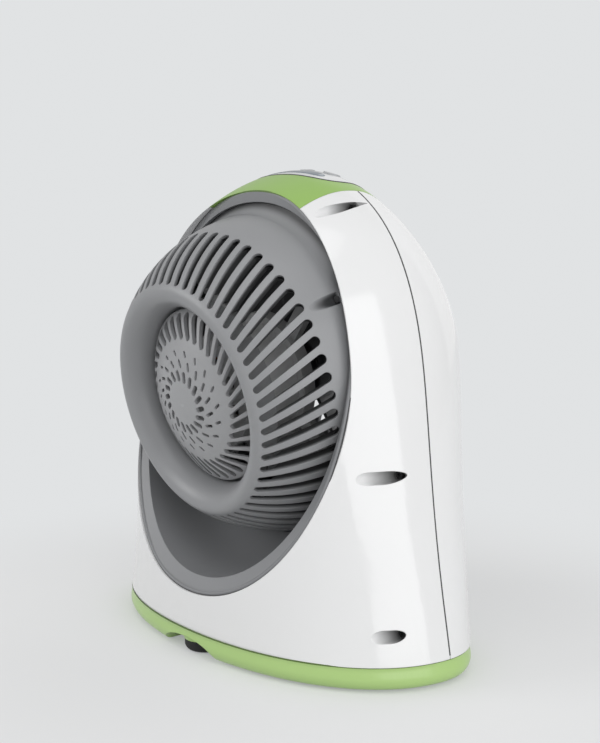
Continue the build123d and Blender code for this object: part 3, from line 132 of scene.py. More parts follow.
def makeBrushedGroup():
    # turned or brushed metal: stretched noise for sheen and normal
    group, start, end = newGroup(
        "brushedMetal",
        [("Colour", "NodeSocketColor", (0.5, 0.5, 0.5, 1)), ("Roughness", "NodeSocketFloat", 0.35),
         ("Scale", "NodeSocketFloat", 300.0)],
        [("Colour", "NodeSocketColor"), ("Roughness", "NodeSocketFloat"), ("Normal", "NodeSocketVector")])
    place = node(group, "ShaderNodeTexCoord")
    stretch = node(group, "ShaderNodeMapping", Scale=(1.0, 0.06, 1.0))
    join(group, place.outputs["Object"], stretch.inputs["Vector"])
    streak = node(group, "ShaderNodeTexNoise", Detail=3.0)
    join(group, stretch.outputs[0], streak.inputs["Vector"])
    join(group, start.outputs["Scale"], streak.inputs["Scale"])
    rough = node(group, "ShaderNodeMath", {"operation": "MULTIPLY_ADD", "use_clamp": True}, i1=0.2)
    join(group, streak.outputs["Fac"], rough.inputs[0])
    join(group, start.outputs["Roughness"], rough.inputs[2])
    join(group, rough.outputs[0], end.inputs["Roughness"])
    tone = node(group, "ShaderNodeMath", {"operation": "MULTIPLY_ADD"}, i1=0.24, i2=0.88)
    join(group, streak.outputs["Fac"], tone.inputs[0])
    shade = node(group, "ShaderNodeVectorMath", {"operation": "SCALE"})
    join(group, start.outputs["Colour"], shade.inputs[0])
    join(group, tone.outputs[0], shade.inputs["Scale"])
    join(group, shade.outputs[0], end.inputs["Colour"])
    bump = node(group, "ShaderNodeBump", Strength=0.12, Distance=0.0001)
    join(group, streak.outputs["Fac"], bump.inputs["Height"])
    join(group, bump.outputs["Normal"], end.inputs["Normal"])
    return group


def makeWellGroup():
    # painted shade at the end of one screw well: an oblong about a line from front to rear, mirrored over the
    # middle, inside which the mask grows towards the screw
    group, start, end = newGroup(
        "wellDepth",
        [("Middle X", "NodeSocketFloat", 0.1), ("Middle Z", "NodeSocketFloat", 0.1),
         ("Turn", "NodeSocketFloat", 0.0), ("Half Length", "NodeSocketFloat", 0.002),
         ("Radius", "NodeSocketFloat", 0.004), ("Deep Y", "NodeSocketFloat", 0.0),
         ("Shallow Y", "NodeSocketFloat", 0.02), ("Strength", "NodeSocketFloat", 1.0)],
        [("Mask", "NodeSocketFloat")])
    place = node(group, "ShaderNodeTexCoord")
    split = node(group, "ShaderNodeSeparateXYZ")
    join(group, place.outputs["Object"], split.inputs[0])

    def calc(operation, first, second=None):
        made = node(group, "ShaderNodeMath", {"operation": operation})
        for socket, value in zip(made.inputs, (first, second)):
            if isinstance(value, (int, float)):
                socket.default_value = value
            elif value is not None:
                join(group, value, socket)
        return made.outputs[0]

    side = calc("SUBTRACT", calc("ABSOLUTE", split.outputs["X"]), start.outputs["Middle X"])
    rise = calc("SUBTRACT", split.outputs["Z"], start.outputs["Middle Z"])
    cosine = calc("COSINE", start.outputs["Turn"])
    sine = calc("SINE", start.outputs["Turn"])
    along = calc("ADD", calc("MULTIPLY", side, cosine), calc("MULTIPLY", rise, sine))
    across = calc("SUBTRACT", calc("MULTIPLY", rise, cosine), calc("MULTIPLY", side, sine))
    past = calc("MAXIMUM", calc("SUBTRACT", calc("ABSOLUTE", along), start.outputs["Half Length"]), 0.0)
    away = calc("SQRT", calc("ADD", calc("MULTIPLY", past, past), calc("MULTIPLY", across, across)))
    inside = calc("LESS_THAN", away, start.outputs["Radius"])
    deep = node(group, "ShaderNodeMapRange", {"interpolation_type": "LINEAR"}, i3=1.0, i4=0.0)
    join(group, split.outputs["Y"], deep.inputs["Value"])
    join(group, start.outputs["Deep Y"], deep.inputs[1])
    join(group, start.outputs["Shallow Y"], deep.inputs[2])
    masked = calc("MULTIPLY", inside, deep.outputs["Result"])
    join(group, calc("MULTIPLY", masked, start.outputs["Strength"]), end.inputs["Mask"])
    return group


mouldedSkin = makeMouldingGroup()
wellDepth = makeWellGroup()
settledDust = makeDustGroup()
brushedMetal = makeBrushedGroup()
print("stage: shader groups")

# the ball's middle and the head's axis at rest, for painted shade that changes with the distance from them
headShade = {"shadeCentre": (0.0, 0.0022, 0.1778), "shadeAxis": (0.0, 0.98294, -0.18395),
             "shadeBlend": 0.001}

plasticLooks = {
    "whiteGloss": {"colour": (0.83, 0.834, 0.838), "rough": 0.16, "grain": 0.015, "coat": 0.5,
                   "tone": 0.015, "dust": 0.0},
    "whiteRear": {"colour": (0.83, 0.834, 0.838), "rough": 0.16, "grain": 0.015, "coat": 0.5,
                  "tone": 0.015, "dust": 0.0, "wells": True},
    "greenCap": {"colour": (0.305, 0.505, 0.12), "rough": 0.32, "grain": 0.05, "coat": 0.1,
                 "tone": 0.03, "dust": 0.02},
    "greenBase": {"colour": (0.43, 0.625, 0.225), "rough": 0.3, "grain": 0.05, "coat": 0.1,
                  "tone": 0.03, "dust": 0.02},
    # the collar: a little darker than the ball's grey as painted shade, and painted shade deepening towards
    # the ring's inner edge
    "greyCollar": {"colour": (0.28, 0.285, 0.295), "rough": 0.36, "grain": 0.12, "coat": 0.0,
                   "tone": 0.04, "dust": 0.03, **headShade, "shadeOutside": 0.0,
                   "shadeFrom": 0.1064, "shadeTo": 0.1108, "shadeStart": 1.0, "shadeLeft": 0.12},
    # the grille: painted shade that deepens down the slots' walls and grooves, below the ball's skin
    "greyVent": {"colour": (0.285, 0.29, 0.30), "rough": 0.36, "grain": 0.12, "coat": 0.0,
                 "tone": 0.04, "dust": 0.03, "edge": 0.0009, **headShade, "shadeOutside": 0.0752,
                 "shadeFrom": 0.1025, "shadeTo": 0.1056, "shadeStart": 0.16, "shadeLeft": 1.0},
    "greyHead": {"colour": (0.285, 0.29, 0.30), "rough": 0.36, "grain": 0.12, "coat": 0.0,
                 "tone": 0.04, "dust": 0.03, "edge": 0.0013},
    "greyDome": {"colour": (0.345, 0.35, 0.36), "rough": 0.38, "grain": 0.12, "coat": 0.0,
                 "tone": 0.04, "dust": 0.03},
    "greyLiner": {"colour": (0.235, 0.24, 0.25), "rough": 0.34, "grain": 0.1, "coat": 0.0,
                  "tone": 0.04, "dust": 0.03},
    "darkMoulding": {"colour": (0.035, 0.036, 0.038), "rough": 0.5, "grain": 0.15, "coat": 0.0,
                     "tone": 0.05, "dust": 0.06},
    "panelPale": {"colour": (0.72, 0.73, 0.74), "rough": 0.14, "grain": 0.01, "coat": 0.4,
                  "tone": 0.01, "dust": 0.0},
    "windowSmoke": {"colour": (0.10, 0.15, 0.2), "rough": 0.06, "grain": 0.0, "coat": 0.8,
                    "tone": 0.02, "dust": 0.0},
    "buttonGrey": {"colour": (0.45, 0.46, 0.47), "rough": 0.35, "grain": 0.1, "coat": 0.0,
                   "tone": 0.03, "dust": 0.0},
    "acetalCream": {"colour": (0.7, 0.69, 0.64), "rough": 0.4, "grain": 0.08, "coat": 0.0,
                    "tone": 0.03, "dust": 0.0},
    "boardGreen": {"colour": (0.02, 0.12, 0.05), "rough": 0.3, "grain": 0.1, "coat": 0.3,
                   "tone": 0.1, "dust": 0.0},
    "rubberBlack": {"colour": (0.012, 0.012, 0.013), "rough": 0.72, "grain": 0.4, "coat": 0.0,
                    "tone": 0.1, "dust": 0.08},
    "feltDark": {"colour": (0.03, 0.03, 0.03), "rough": 0.95, "grain": 0.8, "coat": 0.0,
                 "tone": 0.2, "dust": 0.0},
    "motorPaint": {"colour": (0.5, 0.505, 0.51), "rough": 0.45, "grain": 0.25, "coat": 0.1,
                   "tone": 0.06, "dust": 0.03},
    "mountGrey": {"colour": (0.42, 0.425, 0.43), "rough": 0.45, "grain": 0.15, "coat": 0.0,
                  "tone": 0.05, "dust": 0.03},
    "lineDark": {"colour": (0.06, 0.06, 0.062), "rough": 0.5, "grain": 0.1, "coat": 0.0,
                 "tone": 0.03, "dust": 0.0},
    "lineOlive": {"colour": (0.10, 0.17, 0.035), "rough": 0.5, "grain": 0.1, "coat": 0.0,
                  "tone": 0.03, "dust": 0.0},
    "wheelGrey": {"colour": (0.10, 0.102, 0.106), "rough": 0.42, "grain": 0.1, "coat": 0.0,
                  "tone": 0.05, "dust": 0.04},
}

skinLook = {"roughChange": 0.08, "softEdge": 0.0007, "coatRough": 0.06, "ior": 1.5,
            "dustColour": (0.55, 0.54, 0.52)}

metalLooks = {
    "screwZinc": {"colour": (0.46, 0.46, 0.47), "rough": 0.28, "scale": 500.0},
    "screwDark": {"colour": (0.06, 0.06, 0.062), "rough": 0.35, "scale": 500.0},
    "stackSteel": {"colour": (0.3, 0.3, 0.31), "rough": 0.35, "scale": 900.0},
    "windingCopper": {"colour": (0.48, 0.17, 0.06), "rough": 0.3, "scale": 700.0},
    "bearingBronze": {"colour": (0.5, 0.34, 0.15), "rough": 0.35, "scale": 400.0},
}


def mixColour(tree, colour, other, mask):
    # the colour, turned into the other one as the mask grows
    blend = node(tree, "ShaderNodeMix", {"data_type": "RGBA"})
    colourSockets = [s for s in blend.inputs if s.type == "RGBA"]
    colourSockets[1].default_value = (*other, 1)
    join(tree, mask, blend.inputs[0])
    join(tree, colour, colourSockets[0])
    return [s for s in blend.outputs if s.type == "RGBA"][0]


def shadedByDistance(tree, colour, look):
    # painted shade where a narrow gap or slot gets less light: the colour changes with the distance from
    # the ball's middle, and only outside a cylinder about the head's axis
    place = node(tree, "ShaderNodeTexCoord")
    middle = node(tree, "ShaderNodeVectorMath", {"operation": "SUBTRACT"}, i1=look["shadeCentre"])
    join(tree, place.outputs["Object"], middle.inputs[0])
    away = node(tree, "ShaderNodeVectorMath", {"operation": "LENGTH"})
    join(tree, middle.outputs[0], away.inputs[0])
    turned = node(tree, "ShaderNodeVectorMath", {"operation": "CROSS_PRODUCT"}, i1=look["shadeAxis"])
    join(tree, middle.outputs[0], turned.inputs[0])
    aside = node(tree, "ShaderNodeVectorMath", {"operation": "LENGTH"})
    join(tree, turned.outputs[0], aside.inputs[0])
    amount = node(tree, "ShaderNodeMapRange", {"interpolation_type": "SMOOTHSTEP"},
                  i1=look["shadeFrom"], i2=look["shadeTo"], i3=look["shadeStart"], i4=look["shadeLeft"])
    join(tree, away.outputs["Value"], amount.inputs["Value"])
    left = node(tree, "ShaderNodeMapRange", {"interpolation_type": "SMOOTHSTEP"},
                i1=look["shadeOutside"], i2=look["shadeOutside"] + look["shadeBlend"], i3=1.0)
    join(tree, aside.outputs["Value"], left.inputs["Value"])
    join(tree, amount.outputs["Result"], left.inputs[4])
    shade = node(tree, "ShaderNodeVectorMath", {"operation": "SCALE"})
    join(tree, colour, shade.inputs[0])
    join(tree, left.outputs["Result"], shade.inputs["Scale"])
    return shade.outputs[0]


# painted shade in the wells on each side: middle x and z, turn in degrees, width over all, deep and shallow
# y, strength
wellLook = {
    "colour": (0.02, 0.02, 0.021),
    "height": 0.0078,
    "edge": 0.00004,
    "wells": [(0.0634, 0.2842, 30.0, 0.0104, -0.0072, 0.0085, 0.7),
              (0.12, 0.1275, 0.0, 0.012, 0.0022, 0.027, 0.65),
              (0.1334, 0.034, 0.0, 0.011, 0.0112, 0.031, 0.7)],
}


def darkenWells(tree, colour):
    # a deep well gets little light: painted shade takes its colour down towards the screw
    look = wellLook
    for x, z, turn, width, deep, shallow, strength in look["wells"]:
        well = node(tree, "ShaderNodeGroup", {"node_tree": wellDepth})
        values = {"Middle X": x, "Middle Z": z, "Turn": math.radians(turn), "Deep Y": deep,
                  "Shallow Y": shallow, "Half Length": (width - look["height"]) / 2,
                  "Radius": look["height"] / 2 + look["edge"], "Strength": strength}
        for label, value in values.items():
            well.inputs[label].default_value = value
        colour = mixColour(tree, colour, look["colour"], well.outputs["Mask"])
    return colour


def plasticMaterial(name):
    look = plasticLooks[name]
    material = bpy.data.materials.new(name)
    material.use_nodes = True
    tree = material.node_tree
    shader = tree.nodes["Principled BSDF"]
    skin = node(tree, "ShaderNodeGroup", {"node_tree": mouldedSkin})
    skin.inputs["Colour"].default_value = (*look["colour"], 1)
    skin.inputs["Tone Change"].default_value = look["tone"]
    skin.inputs["Roughness"].default_value = look["rough"]
    skin.inputs["Roughness Change"].default_value = skinLook["roughChange"]
    skin.inputs["Grain Depth"].default_value = look["grain"]
    skin.inputs["Edge Radius"].default_value = look.get("edge", skinLook["softEdge"])
    shader.inputs["Coat Weight"].default_value = look["coat"]
    shader.inputs["Coat Roughness"].default_value = skinLook["coatRough"]
    shader.inputs["IOR"].default_value = skinLook["ior"]
    colour = skin.outputs["Colour"]
    if look["dust"] > 0:
        dust = node(tree, "ShaderNodeGroup", {"node_tree": settledDust})
        dust.inputs["Amount"].default_value = look["dust"]
        colour = mixColour(tree, colour, skinLook["dustColour"], dust.outputs["Mask"])
    if "shadeFrom" in look:
        colour = shadedByDistance(tree, colour, look)
    if look.get("wells"):
        colour = darkenWells(tree, colour)
    join(tree, colour, shader.inputs["Base Color"])
    join(tree, skin.outputs["Roughness"], shader.inputs["Roughness"])
    join(tree, skin.outputs["Normal"], shader.inputs["Normal"])
    return material


def metalMaterial(name):
    look = metalLooks[name]
    material = bpy.data.materials.new(name)
    material.use_nodes = True
    tree = material.node_tree
    shader = tree.nodes["Principled BSDF"]
    skin = node(tree, "ShaderNodeGroup", {"node_tree": brushedMetal})
    skin.inputs["Colour"].default_value = (*look["colour"], 1)
    skin.inputs["Roughness"].default_value = look["rough"]
    skin.inputs["Scale"].default_value = look["scale"]
    shader.inputs["Metallic"].default_value = 1.0
    join(tree, skin.outputs["Colour"], shader.inputs["Base Color"])
    join(tree, skin.outputs["Roughness"], shader.inputs["Roughness"])
    join(tree, skin.outputs["Normal"], shader.inputs["Normal"])
    return material


materials = {name: plasticMaterial(name) for name in plasticLooks}
materials.update({name: metalMaterial(name) for name in metalLooks})

nodeLooks = {
    "rear_shell": "whiteRear", "front_shell": "whiteGloss", "top_cover": "greenCap", "base_tray": "greenBase",
    "rear_liner": "greyLiner", "front_liner": "greyLiner", "control_panel": "panelPale",
    "display_window": "windowSmoke", "control_board": "boardGreen", "press_switches": "darkMoulding",
    "timer_button": "buttonGrey", "power_button": "buttonGrey", "speed_button": "buttonGrey",
    "rear_foot": "rubberBlack", "side_feet": "rubberBlack", "shell_screws": "screwDark",
    "base_screws": "screwZinc", "cord_gland": "darkMoulding", "power_board": "boardGreen",
    "transformer": "motorPaint", "capacitor": "darkMoulding", "board_screws": "screwZinc",
    "pivot_bushes": "acetalCream", "friction_washers": "feltDark", "pivot_pins": "darkMoulding",
    "rear_grille": "greyVent", "motor_cover": "greyDome", "head_front_shell": "greyHead",
    "front_grille": "greyHead", "front_badge": "greyDome", "motor_mount": "mountGrey",
    "motor_front_bell": "motorPaint", "motor_rear_bell": "motorPaint", "stator_core": "stackSteel",
    "stator_windings": "windingCopper", "front_bearing": "bearingBronze", "rear_bearing": "bearingBronze",
    "head_screws": "screwZinc", "motor_screws": "screwZinc", "shaft": "screwZinc",
    "rotor_core": "stackSteel", "impeller": "wheelGrey", "impeller_nut": "darkMoulding",
}
for name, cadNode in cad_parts.items():
    cadNode.data.materials.clear()
    cadNode.data.materials.append(materials[nodeLooks[name]])
print("stage: materials")


def linkMesh(name, points, faces, body, look):
    # a finished piece from points and faces, with smooth shading
    mesh = bpy.data.meshes.new(name)
    mesh.from_pydata(points.tolist(), [], faces.tolist())
    mesh.polygons.foreach_set("use_smooth", [True] * len(mesh.polygons))
    mesh.materials.append(materials[look])
    made = bpy.data.objects.new(name, mesh)
    bpy.context.scene.collection.objects.link(made)
    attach(made, body)
    return made


def gridFaces(rows, columns, closed):
    # quads between neighbouring rows of a grid of points
    i, j = np.meshgrid(np.arange(rows if closed else rows - 1), np.arange(columns - 1), indexing="ij")
    a = i * columns + j
    b = ((i + 1) % rows) * columns + j
    return np.stack([a, b, b + 1, a + 1], 2).reshape(-1, 4)


def facingOut(points, faces, outward):
    # all the faces turned over if the first one looks away from the outward direction
    corner, second, last = points[faces[0, [0, 1, 3]]]
    if np.cross(second - corner, last - corner) @ outward < 0:
        return faces[:, ::-1]
    return faces


# the shut lines between the housing's covers are low beads whose edges lie a little under the surface
beadLook = {"lift": 0.00016, "sink": 0.00005, "steps": 5}


def ribbon(name, line, normals, width, lift, body, look, closed=False):
    # a low bead along a line on a surface: with u from -1 to 1 across it, its height is
    # 2 * lift * (1 - u * u) - sink
    line = np.asarray(line, float)
    normals = np.asarray(normals, float)
    if closed:
        along = np.roll(line, -1, 0) - np.roll(line, 1, 0)
    else:
        along = np.gradient(line, axis=0)
    along /= np.linalg.norm(along, axis=1)[:, None]
    normals -= (normals * along).sum(1)[:, None] * along
    normals /= np.linalg.norm(normals, axis=1)[:, None]
    across = np.cross(along, normals)
    steps = np.linspace(-1, 1, beadLook["steps"])
    rows = [line + across * (u * width / 2) + normals * (lift * (1 - u * u) * 2 - beadLook["sink"])
            for u in steps]
    points = np.stack(rows, 1).reshape(-1, 3)
    faces = facingOut(points, gridFaces(len(line), len(steps), closed), normals[0])
    return linkMesh(name, points, faces, body, look)


def castOn(name, start, way):
    # where a ray first meets a CAD node, and the surface's normal there
    found, place, normal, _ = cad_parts[name].ray_cast(Vector(start), Vector(way))
    return (np.array(place), np.array(normal)) if found else None


seamLook = {"width": 0.0013, "planeY": -0.0164, "planeLean": 0.02, "planeZ": 0.155,
            "fromTurn": 21, "toTurn": 133, "rays": 166, "middleZ": 0.15, "reach": 0.4,
            "usualReach": 0.17, "behind": 0.0008, "lowest": 0.0165, "nearest": 0.1,
            "mostRearward": 0.9, "longestStep": 0.012}


def seamPlane(z):
    # the leaning plane where the two shells meet: y = planeY - planeLean * (z - planeZ)
    return seamLook["planeY"] - seamLook["planeLean"] * (z - seamLook["planeZ"])


def makeSeams():
    # rays towards the middle of the housing, just behind the seam, find the rear shell's outer edge
    look = seamLook
    for side, name in ((-1, "nearSeam"), (1, "farSeam")):
        line, normals = [], []
        for turn in np.radians(np.linspace(look["fromTurn"], look["toTurn"], look["rays"])):
            way = np.array([side * math.sin(turn), 0, math.cos(turn)])
            start = np.array([0, 0, look["middleZ"]]) + way * look["reach"]
            start[1] = seamPlane(look["middleZ"] + way[2] * look["usualReach"]) + look["behind"]
            hit = castOn("rear_shell", start, -way)
            if hit is None or hit[0][2] < look["lowest"]:
                continue
            if np.linalg.norm(hit[0][[0, 2]] - (0, look["middleZ"])) < look["nearest"]:
                continue
            if abs(hit[1][1]) > look["mostRearward"]:
                continue
            place = hit[0].copy()
            place[1] = seamPlane(place[2])
            if line and np.linalg.norm(place - line[-1]) > look["longestStep"]:
                continue
            line.append(place)
            normals.append(hit[1])
        ribbon(name, line, normals, look["width"], beadLook["lift"], "root", "lineDark")


baseLook = {"width": 0.0013, "reach": 0.3, "height": 0.0153, "rise": 0.0006, "rays": 360}


def makeBaseLine():
    # rays towards the middle, just under the base's upper edge
    look = baseLook
    line, normals = [], []
    for turn in np.linspace(0, 2 * math.pi, look["rays"], endpoint=False):
        way = np.array([math.cos(turn), math.sin(turn), 0])
        hit = castOn("base_tray", way * look["reach"] + (0, 0, look["height"]), -way)
        if hit is not None:
            line.append(hit[0] + (0, 0, look["rise"]))
            normals.append(hit[1])
    ribbon("baseSeam", line, normals, look["width"], beadLook["lift"],
           "root", "lineOlive", True)


ringLook = {"faceY": 0.0495, "faceZ": 0.155, "lean": 0.219, "bow": 1.04, "halfWidth": 0.1092,
            "halfHeight": 0.1277, "middleZ": 0.1681, "handle": 0.6, "points": 360, "inset": 0.00015,
            "width": 0.0008, "topWidth": 0.0012, "topHalfWidth": 0.0486, "topFrom": 0.2}
lipLook = {"inset": 0.0015, "width": 0.0022, "lift": 0.0005, "farX": 0.0, "farZ": 0.19}


def ringSurface(x, z):
    # the leaning, bowed face of the rear ring: y = faceY - lean * (z - faceZ) - bow * x * x
    return ringLook["faceY"] - ringLook["lean"] * (z - ringLook["faceZ"]) - ringLook["bow"] * x * x


def ovalOutline(a, b, handle, count):
    # an oval of four Bezier quarters: a (1-t)^3 + 3 a (1-t)^2 t + 3 a handle (1-t) t^2, and b backwards
    t = np.linspace(0, 1, count // 4 + 1)[:-1]
    rise = 3 * handle * (1 - t) ** 2 * t + 3 * (1 - t) * t ** 2 + t ** 3
    fall = (1 - t) ** 3 + 3 * (1 - t) ** 2 * t + 3 * handle * (1 - t) * t ** 2
    u = np.concatenate([fall, -rise, -fall, rise])
    v = np.concatenate([rise, fall, -rise, -fall])
    return a * u, b * v


def ringOutline(inset):
    # the ring's outer oval on the ring's face, moved inwards by the inset
    look = ringLook
    x, z = ovalOutline(look["halfWidth"] - inset, look["halfHeight"] - inset, look["handle"], look["points"])
    z = z + look["middleZ"]
    return np.stack([x, ringSurface(x, z), z], 1)


def makeRingLine():
    # an olive line under the green cover, and a dark one round the rest of the ring
    look = ringLook
    line = ringOutline(look["inset"])
    x, z = line[:, 0], line[:, 2]
    normals = np.stack([2 * look["bow"] * x, np.ones_like(x), np.full_like(x, look["lean"])], 1)
    top = (np.abs(x) < look["topHalfWidth"]) & (z > look["topFrom"])
    order = np.argsort(x[top])
    ribbon("ringLineTop", line[top][order], normals[top][order], look["topWidth"], beadLook["lift"],
           "root", "lineOlive")
    start = int(np.argmax(top)) + int(top.sum())
    rest = np.roll(np.arange(len(line)), -start)
    rest = rest[~top[rest]]
    ribbon("ringLine", line[rest], normals[rest], look["width"], beadLook["lift"],
           "root", "lineDark")
    # a low rounded lip beside the dark line, left out at the top of the far side
    lip = ringOutline(lipLook["inset"])
    rest = rest[(lip[rest, 0] < lipLook["farX"]) | (lip[rest, 2] < lipLook["farZ"])]
    ribbon("ringLip", lip[rest], normals[rest], lipLook["width"], lipLook["lift"],
           "root", "greyLiner")


panelLook = {"width": 0.0013, "halfWidth": 0.0448, "halfDepth": 0.0253, "middleY": -0.0284,
             "handle": 0.8, "points": 240, "inward": 0.995, "above": 0.4}


def makePanelLine():
    # rays from above, just inside the panel's outline
    look = panelLook
    x, y = ovalOutline(look["halfWidth"], look["halfDepth"], look["handle"], look["points"])
    line, normals = [], []
    for px, py in zip(x, y + look["middleY"]):
        hit = castOn("control_panel", (px * look["inward"], py, look["above"]), (0, 0, -1))
        if hit is not None:
            line.append(hit[0])
            normals.append(hit[1])
    ribbon("panelLine", line, normals, look["width"], beadLook["lift"],
           "root", "lineDark", True)


collarLook = {"ball": 0.10585, "centreY": 0.0022, "centreZ": 0.1778, "halfTurn": 53.0, "fadeTurn": 9.0,
              "run": 0.0085, "handle": 0.0072, "rows": 10, "columns": 149, "firstReach": 0.108,
              "tries": 4, "underFace": 0.0019, "castUnder": 0.001, "edgeUnder": 0.0012, "clear": 0.0003}


def ringInnerEdge(turn):
    # repeated rays find how far the ring's inner edge is from the ball's middle, and the y of the edge
    look = collarLook
    way = np.array([math.sin(turn), 0, math.cos(turn)])
    reach = look["firstReach"]
    for _ in range(look["tries"]):
        edge = ringSurface(way[0] * reach, look["centreZ"] + way[2] * reach) - look["underFace"]
        hit = castOn("rear_liner", (0, edge - look["castUnder"], look["centreZ"]), way)
        if hit is not None:
            reach = math.hypot(hit[0][0], hit[0][2] - look["centreZ"])
    return reach, edge


def makeBallCollar():
    # a soft lining that closes the bowl's mouth down to the ball. Across it, y and the distance r from
    # the middle are quadratic Beziers, from the ball's skin, r = sqrt(ball^2 - (y - centreY)^2), along its
    # tangent to the ring's inner edge; towards both ends the outer edge sinks back to the ball
    look = collarLook
    turns = np.radians(np.linspace(-look["halfTurn"], look["halfTurn"], look["columns"]))
    found = np.array([ringInnerEdge(turn) for turn in turns])
    reach, edge = found[:, :1], found[:, 1:]
    fade = np.minimum(1, (look["halfTurn"] - np.abs(np.degrees(turns))) / look["fadeTurn"])[:, None]
    fade = fade * fade * (3 - 2 * fade)
    y0 = edge + look["run"]
    r0 = np.sqrt(look["ball"] ** 2 - (y0 - look["centreY"]) ** 2)
    y1 = y0 - look["handle"]
    r1 = r0 + look["handle"] * (y0 - look["centreY"]) / r0
    y2 = edge - look["edgeUnder"]
    ballReach = np.sqrt(look["ball"] ** 2 - (y2 - look["centreY"]) ** 2)
    r2 = ballReach + (reach - look["clear"] - ballReach) * fade
    t = np.linspace(0, 1, look["rows"])
    y = y0 * (1 - t) ** 2 + 2 * y1 * t * (1 - t) + y2 * t * t
    r = r0 * (1 - t) ** 2 + 2 * r1 * t * (1 - t) + r2 * t * t
    sine, cosine = np.sin(turns)[:, None], np.cos(turns)[:, None]
    points = np.stack([sine * r, y, look["centreZ"] + cosine * r], 2).reshape(-1, 3)
    faces = facingOut(points, gridFaces(len(turns), look["rows"], False), np.array([0, 1, 0]))
    linkMesh("ballCollar", points, faces, "root", "greyCollar")


makeSeams()
makeBaseLine()
makeRingLine()
makePanelLine()
makeBallCollar()
print("stage: shut lines and collar")

studio = {
    "backdrop": (0.752, 0.766, 0.775),
    "floorHalf": 6.0,
    "floorTone": 0.83,
    "floorBounce": 0.68,
    "fadeFrom": 0.18,
    "fadeTo": 0.42,
    "fadeStart": 0.4,
    "cameraPlace": (-0.685, 0.532, 0.2938),
    "cameraTarget": (0.0, -0.0336, 0.155),
    "lens": 63.73,
    "sensor": 36.0,
    "shift": (-0.026, 0.0375),
    "clip": (0.05, 30.0),
    "worldStrength": 0.52,
}


def backdropMaterial():
    # lit near the object, so that it keeps the shadow, and an even backdrop colour further out
    material = bpy.data.materials.new("paleBackdrop")
    material.use_nodes = True
    tree = material.node_tree
    tree.nodes.clear()
    out = node(tree, "ShaderNodeOutputMaterial")
    lit = node(tree, "ShaderNodeBsdfDiffuse")
    bounce = node(tree, "ShaderNodeMapRange", i3=studio["floorTone"], i4=studio["floorBounce"])
    join(tree, bounce.outputs["Result"], lit.inputs["Color"])
    even = node(tree, "ShaderNodeEmission", Color=(*studio["backdrop"], 1), Strength=1.0)
    place = node(tree, "ShaderNodeTexCoord")
    reach = node(tree, "ShaderNodeVectorMath", {"operation": "LENGTH"})
    join(tree, place.outputs["Object"], reach.inputs[0])
    fade = node(tree, "ShaderNodeMapRange", {"interpolation_type": "SMOOTHSTEP"},
                i1=studio["fadeFrom"], i2=studio["fadeTo"], i3=studio["fadeStart"])
    join(tree, reach.outputs["Value"], fade.inputs["Value"])
    path = node(tree, "ShaderNodeLightPath")
    join(tree, path.outputs["Is Diffuse Ray"], bounce.inputs["Value"])
    seen = node(tree, "ShaderNodeMath", {"operation": "MAXIMUM"})
    join(tree, path.outputs["Is Camera Ray"], seen.inputs[0])
    join(tree, path.outputs["Is Glossy Ray"], seen.inputs[1])
    seenMore = node(tree, "ShaderNodeMath", {"operation": "MAXIMUM"})
    join(tree, seen.outputs[0], seenMore.inputs[0])
    join(tree, path.outputs["Is Transmission Ray"], seenMore.inputs[1])
    factor = node(tree, "ShaderNodeMath", {"operation": "MULTIPLY"})
    join(tree, fade.outputs["Result"], factor.inputs[0])
    join(tree, seenMore.outputs[0], factor.inputs[1])
    mix = node(tree, "ShaderNodeMixShader")
    join(tree, factor.outputs[0], mix.inputs[0])
    join(tree, lit.outputs[0], mix.inputs[1])
    join(tree, even.outputs[0], mix.inputs[2])
    join(tree, mix.outputs[0], out.inputs["Surface"])
    return material


def makeFloor():
    half = studio["floorHalf"]
    corners = [(-half, -half, 0.0), (half, -half, 0.0), (half, half, 0.0), (-half, half, 0.0)]
    mesh = bpy.data.meshes.new("floor")
    mesh.from_pydata(corners, [], [(0, 1, 2, 3)])
    floor = bpy.data.objects.new("floor", mesh)
    bpy.context.scene.collection.objects.link(floor)
    mesh.materials.append(backdropMaterial())


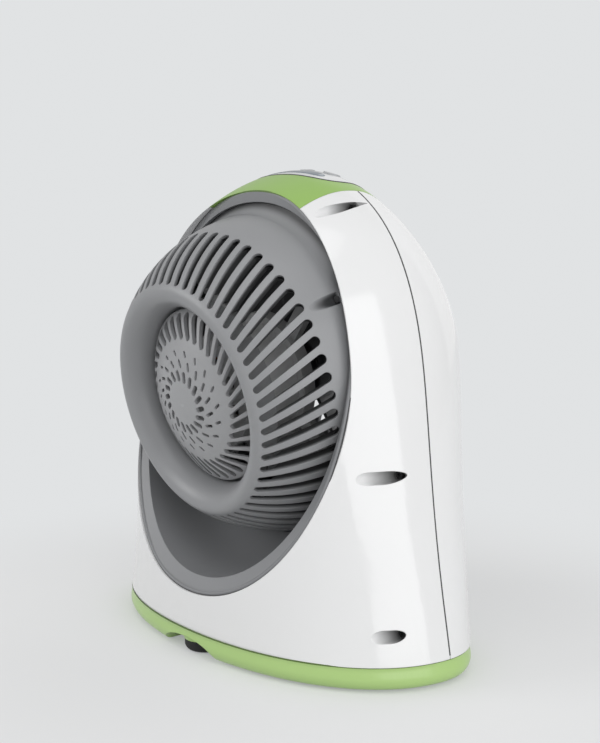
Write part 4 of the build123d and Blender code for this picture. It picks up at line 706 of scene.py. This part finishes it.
def makeWorld():
    # even soft light all round, and the backdrop's colour for what the camera sees
    world = bpy.data.worlds.new("softRoom")
    bpy.context.scene.world = world
    world.use_nodes = True
    tree = world.node_tree
    tree.nodes.clear()
    out = node(tree, "ShaderNodeOutputWorld")
    soft = node(tree, "ShaderNodeBackground", Color=(1, 1, 1, 1), Strength=studio["worldStrength"])
    seenColour = node(tree, "ShaderNodeBackground", Color=(*studio["backdrop"], 1), Strength=1.0)
    path = node(tree, "ShaderNodeLightPath")
    mix = node(tree, "ShaderNodeMixShader")
    join(tree, path.outputs["Is Camera Ray"], mix.inputs[0])
    join(tree, soft.outputs[0], mix.inputs[1])
    join(tree, seenColour.outputs[0], mix.inputs[2])
    join(tree, mix.outputs[0], out.inputs["Surface"])


lampSettings = [
    # name, place, aimed at, size, power in watts
    ("topSoftbox", (-0.3, 0.5, 1.5), (0, 0, 0.15), 1.1, 3.3),
    ("leftSoftbox", (0.9, 1.3, 0.9), (0, 0, 0.15), 0.9, 7.6),
    ("rightSoftbox", (-1.35, 0.2, 0.5), (0, 0, 0.2), 1.35, 10.2),
    ("frontSoftbox", (0.4, -1.4, 0.9), (0, 0, 0.15), 1.7, 3.6),
]


def makeLamps():
    for name, place, target, size, power in lampSettings:
        data = bpy.data.lights.new(name, "AREA")
        data.shape = "SQUARE"
        data.size = size
        data.energy = power
        lamp = bpy.data.objects.new(name, data)
        lamp.location = place
        lamp.rotation_euler = (Vector(target) - Vector(place)).to_track_quat("-Z", "Y").to_euler()
        bpy.context.scene.collection.objects.link(lamp)


def makeCamera():
    data = bpy.data.cameras.new("photoView")
    data.lens = studio["lens"]
    data.sensor_width = studio["sensor"]
    data.shift_x, data.shift_y = studio["shift"]
    data.clip_start, data.clip_end = studio["clip"]
    camera = bpy.data.objects.new("photoView", data)
    camera.location = studio["cameraPlace"]
    aim = Vector(studio["cameraTarget"]) - Vector(studio["cameraPlace"])
    camera.rotation_euler = aim.to_track_quat("-Z", "Y").to_euler()
    bpy.context.scene.collection.objects.link(camera)
    bpy.context.scene.camera = camera


makeFloor()
makeWorld()
makeLamps()
makeCamera()
bpy.context.scene.view_settings.view_transform = "Standard"
print("stage: studio")
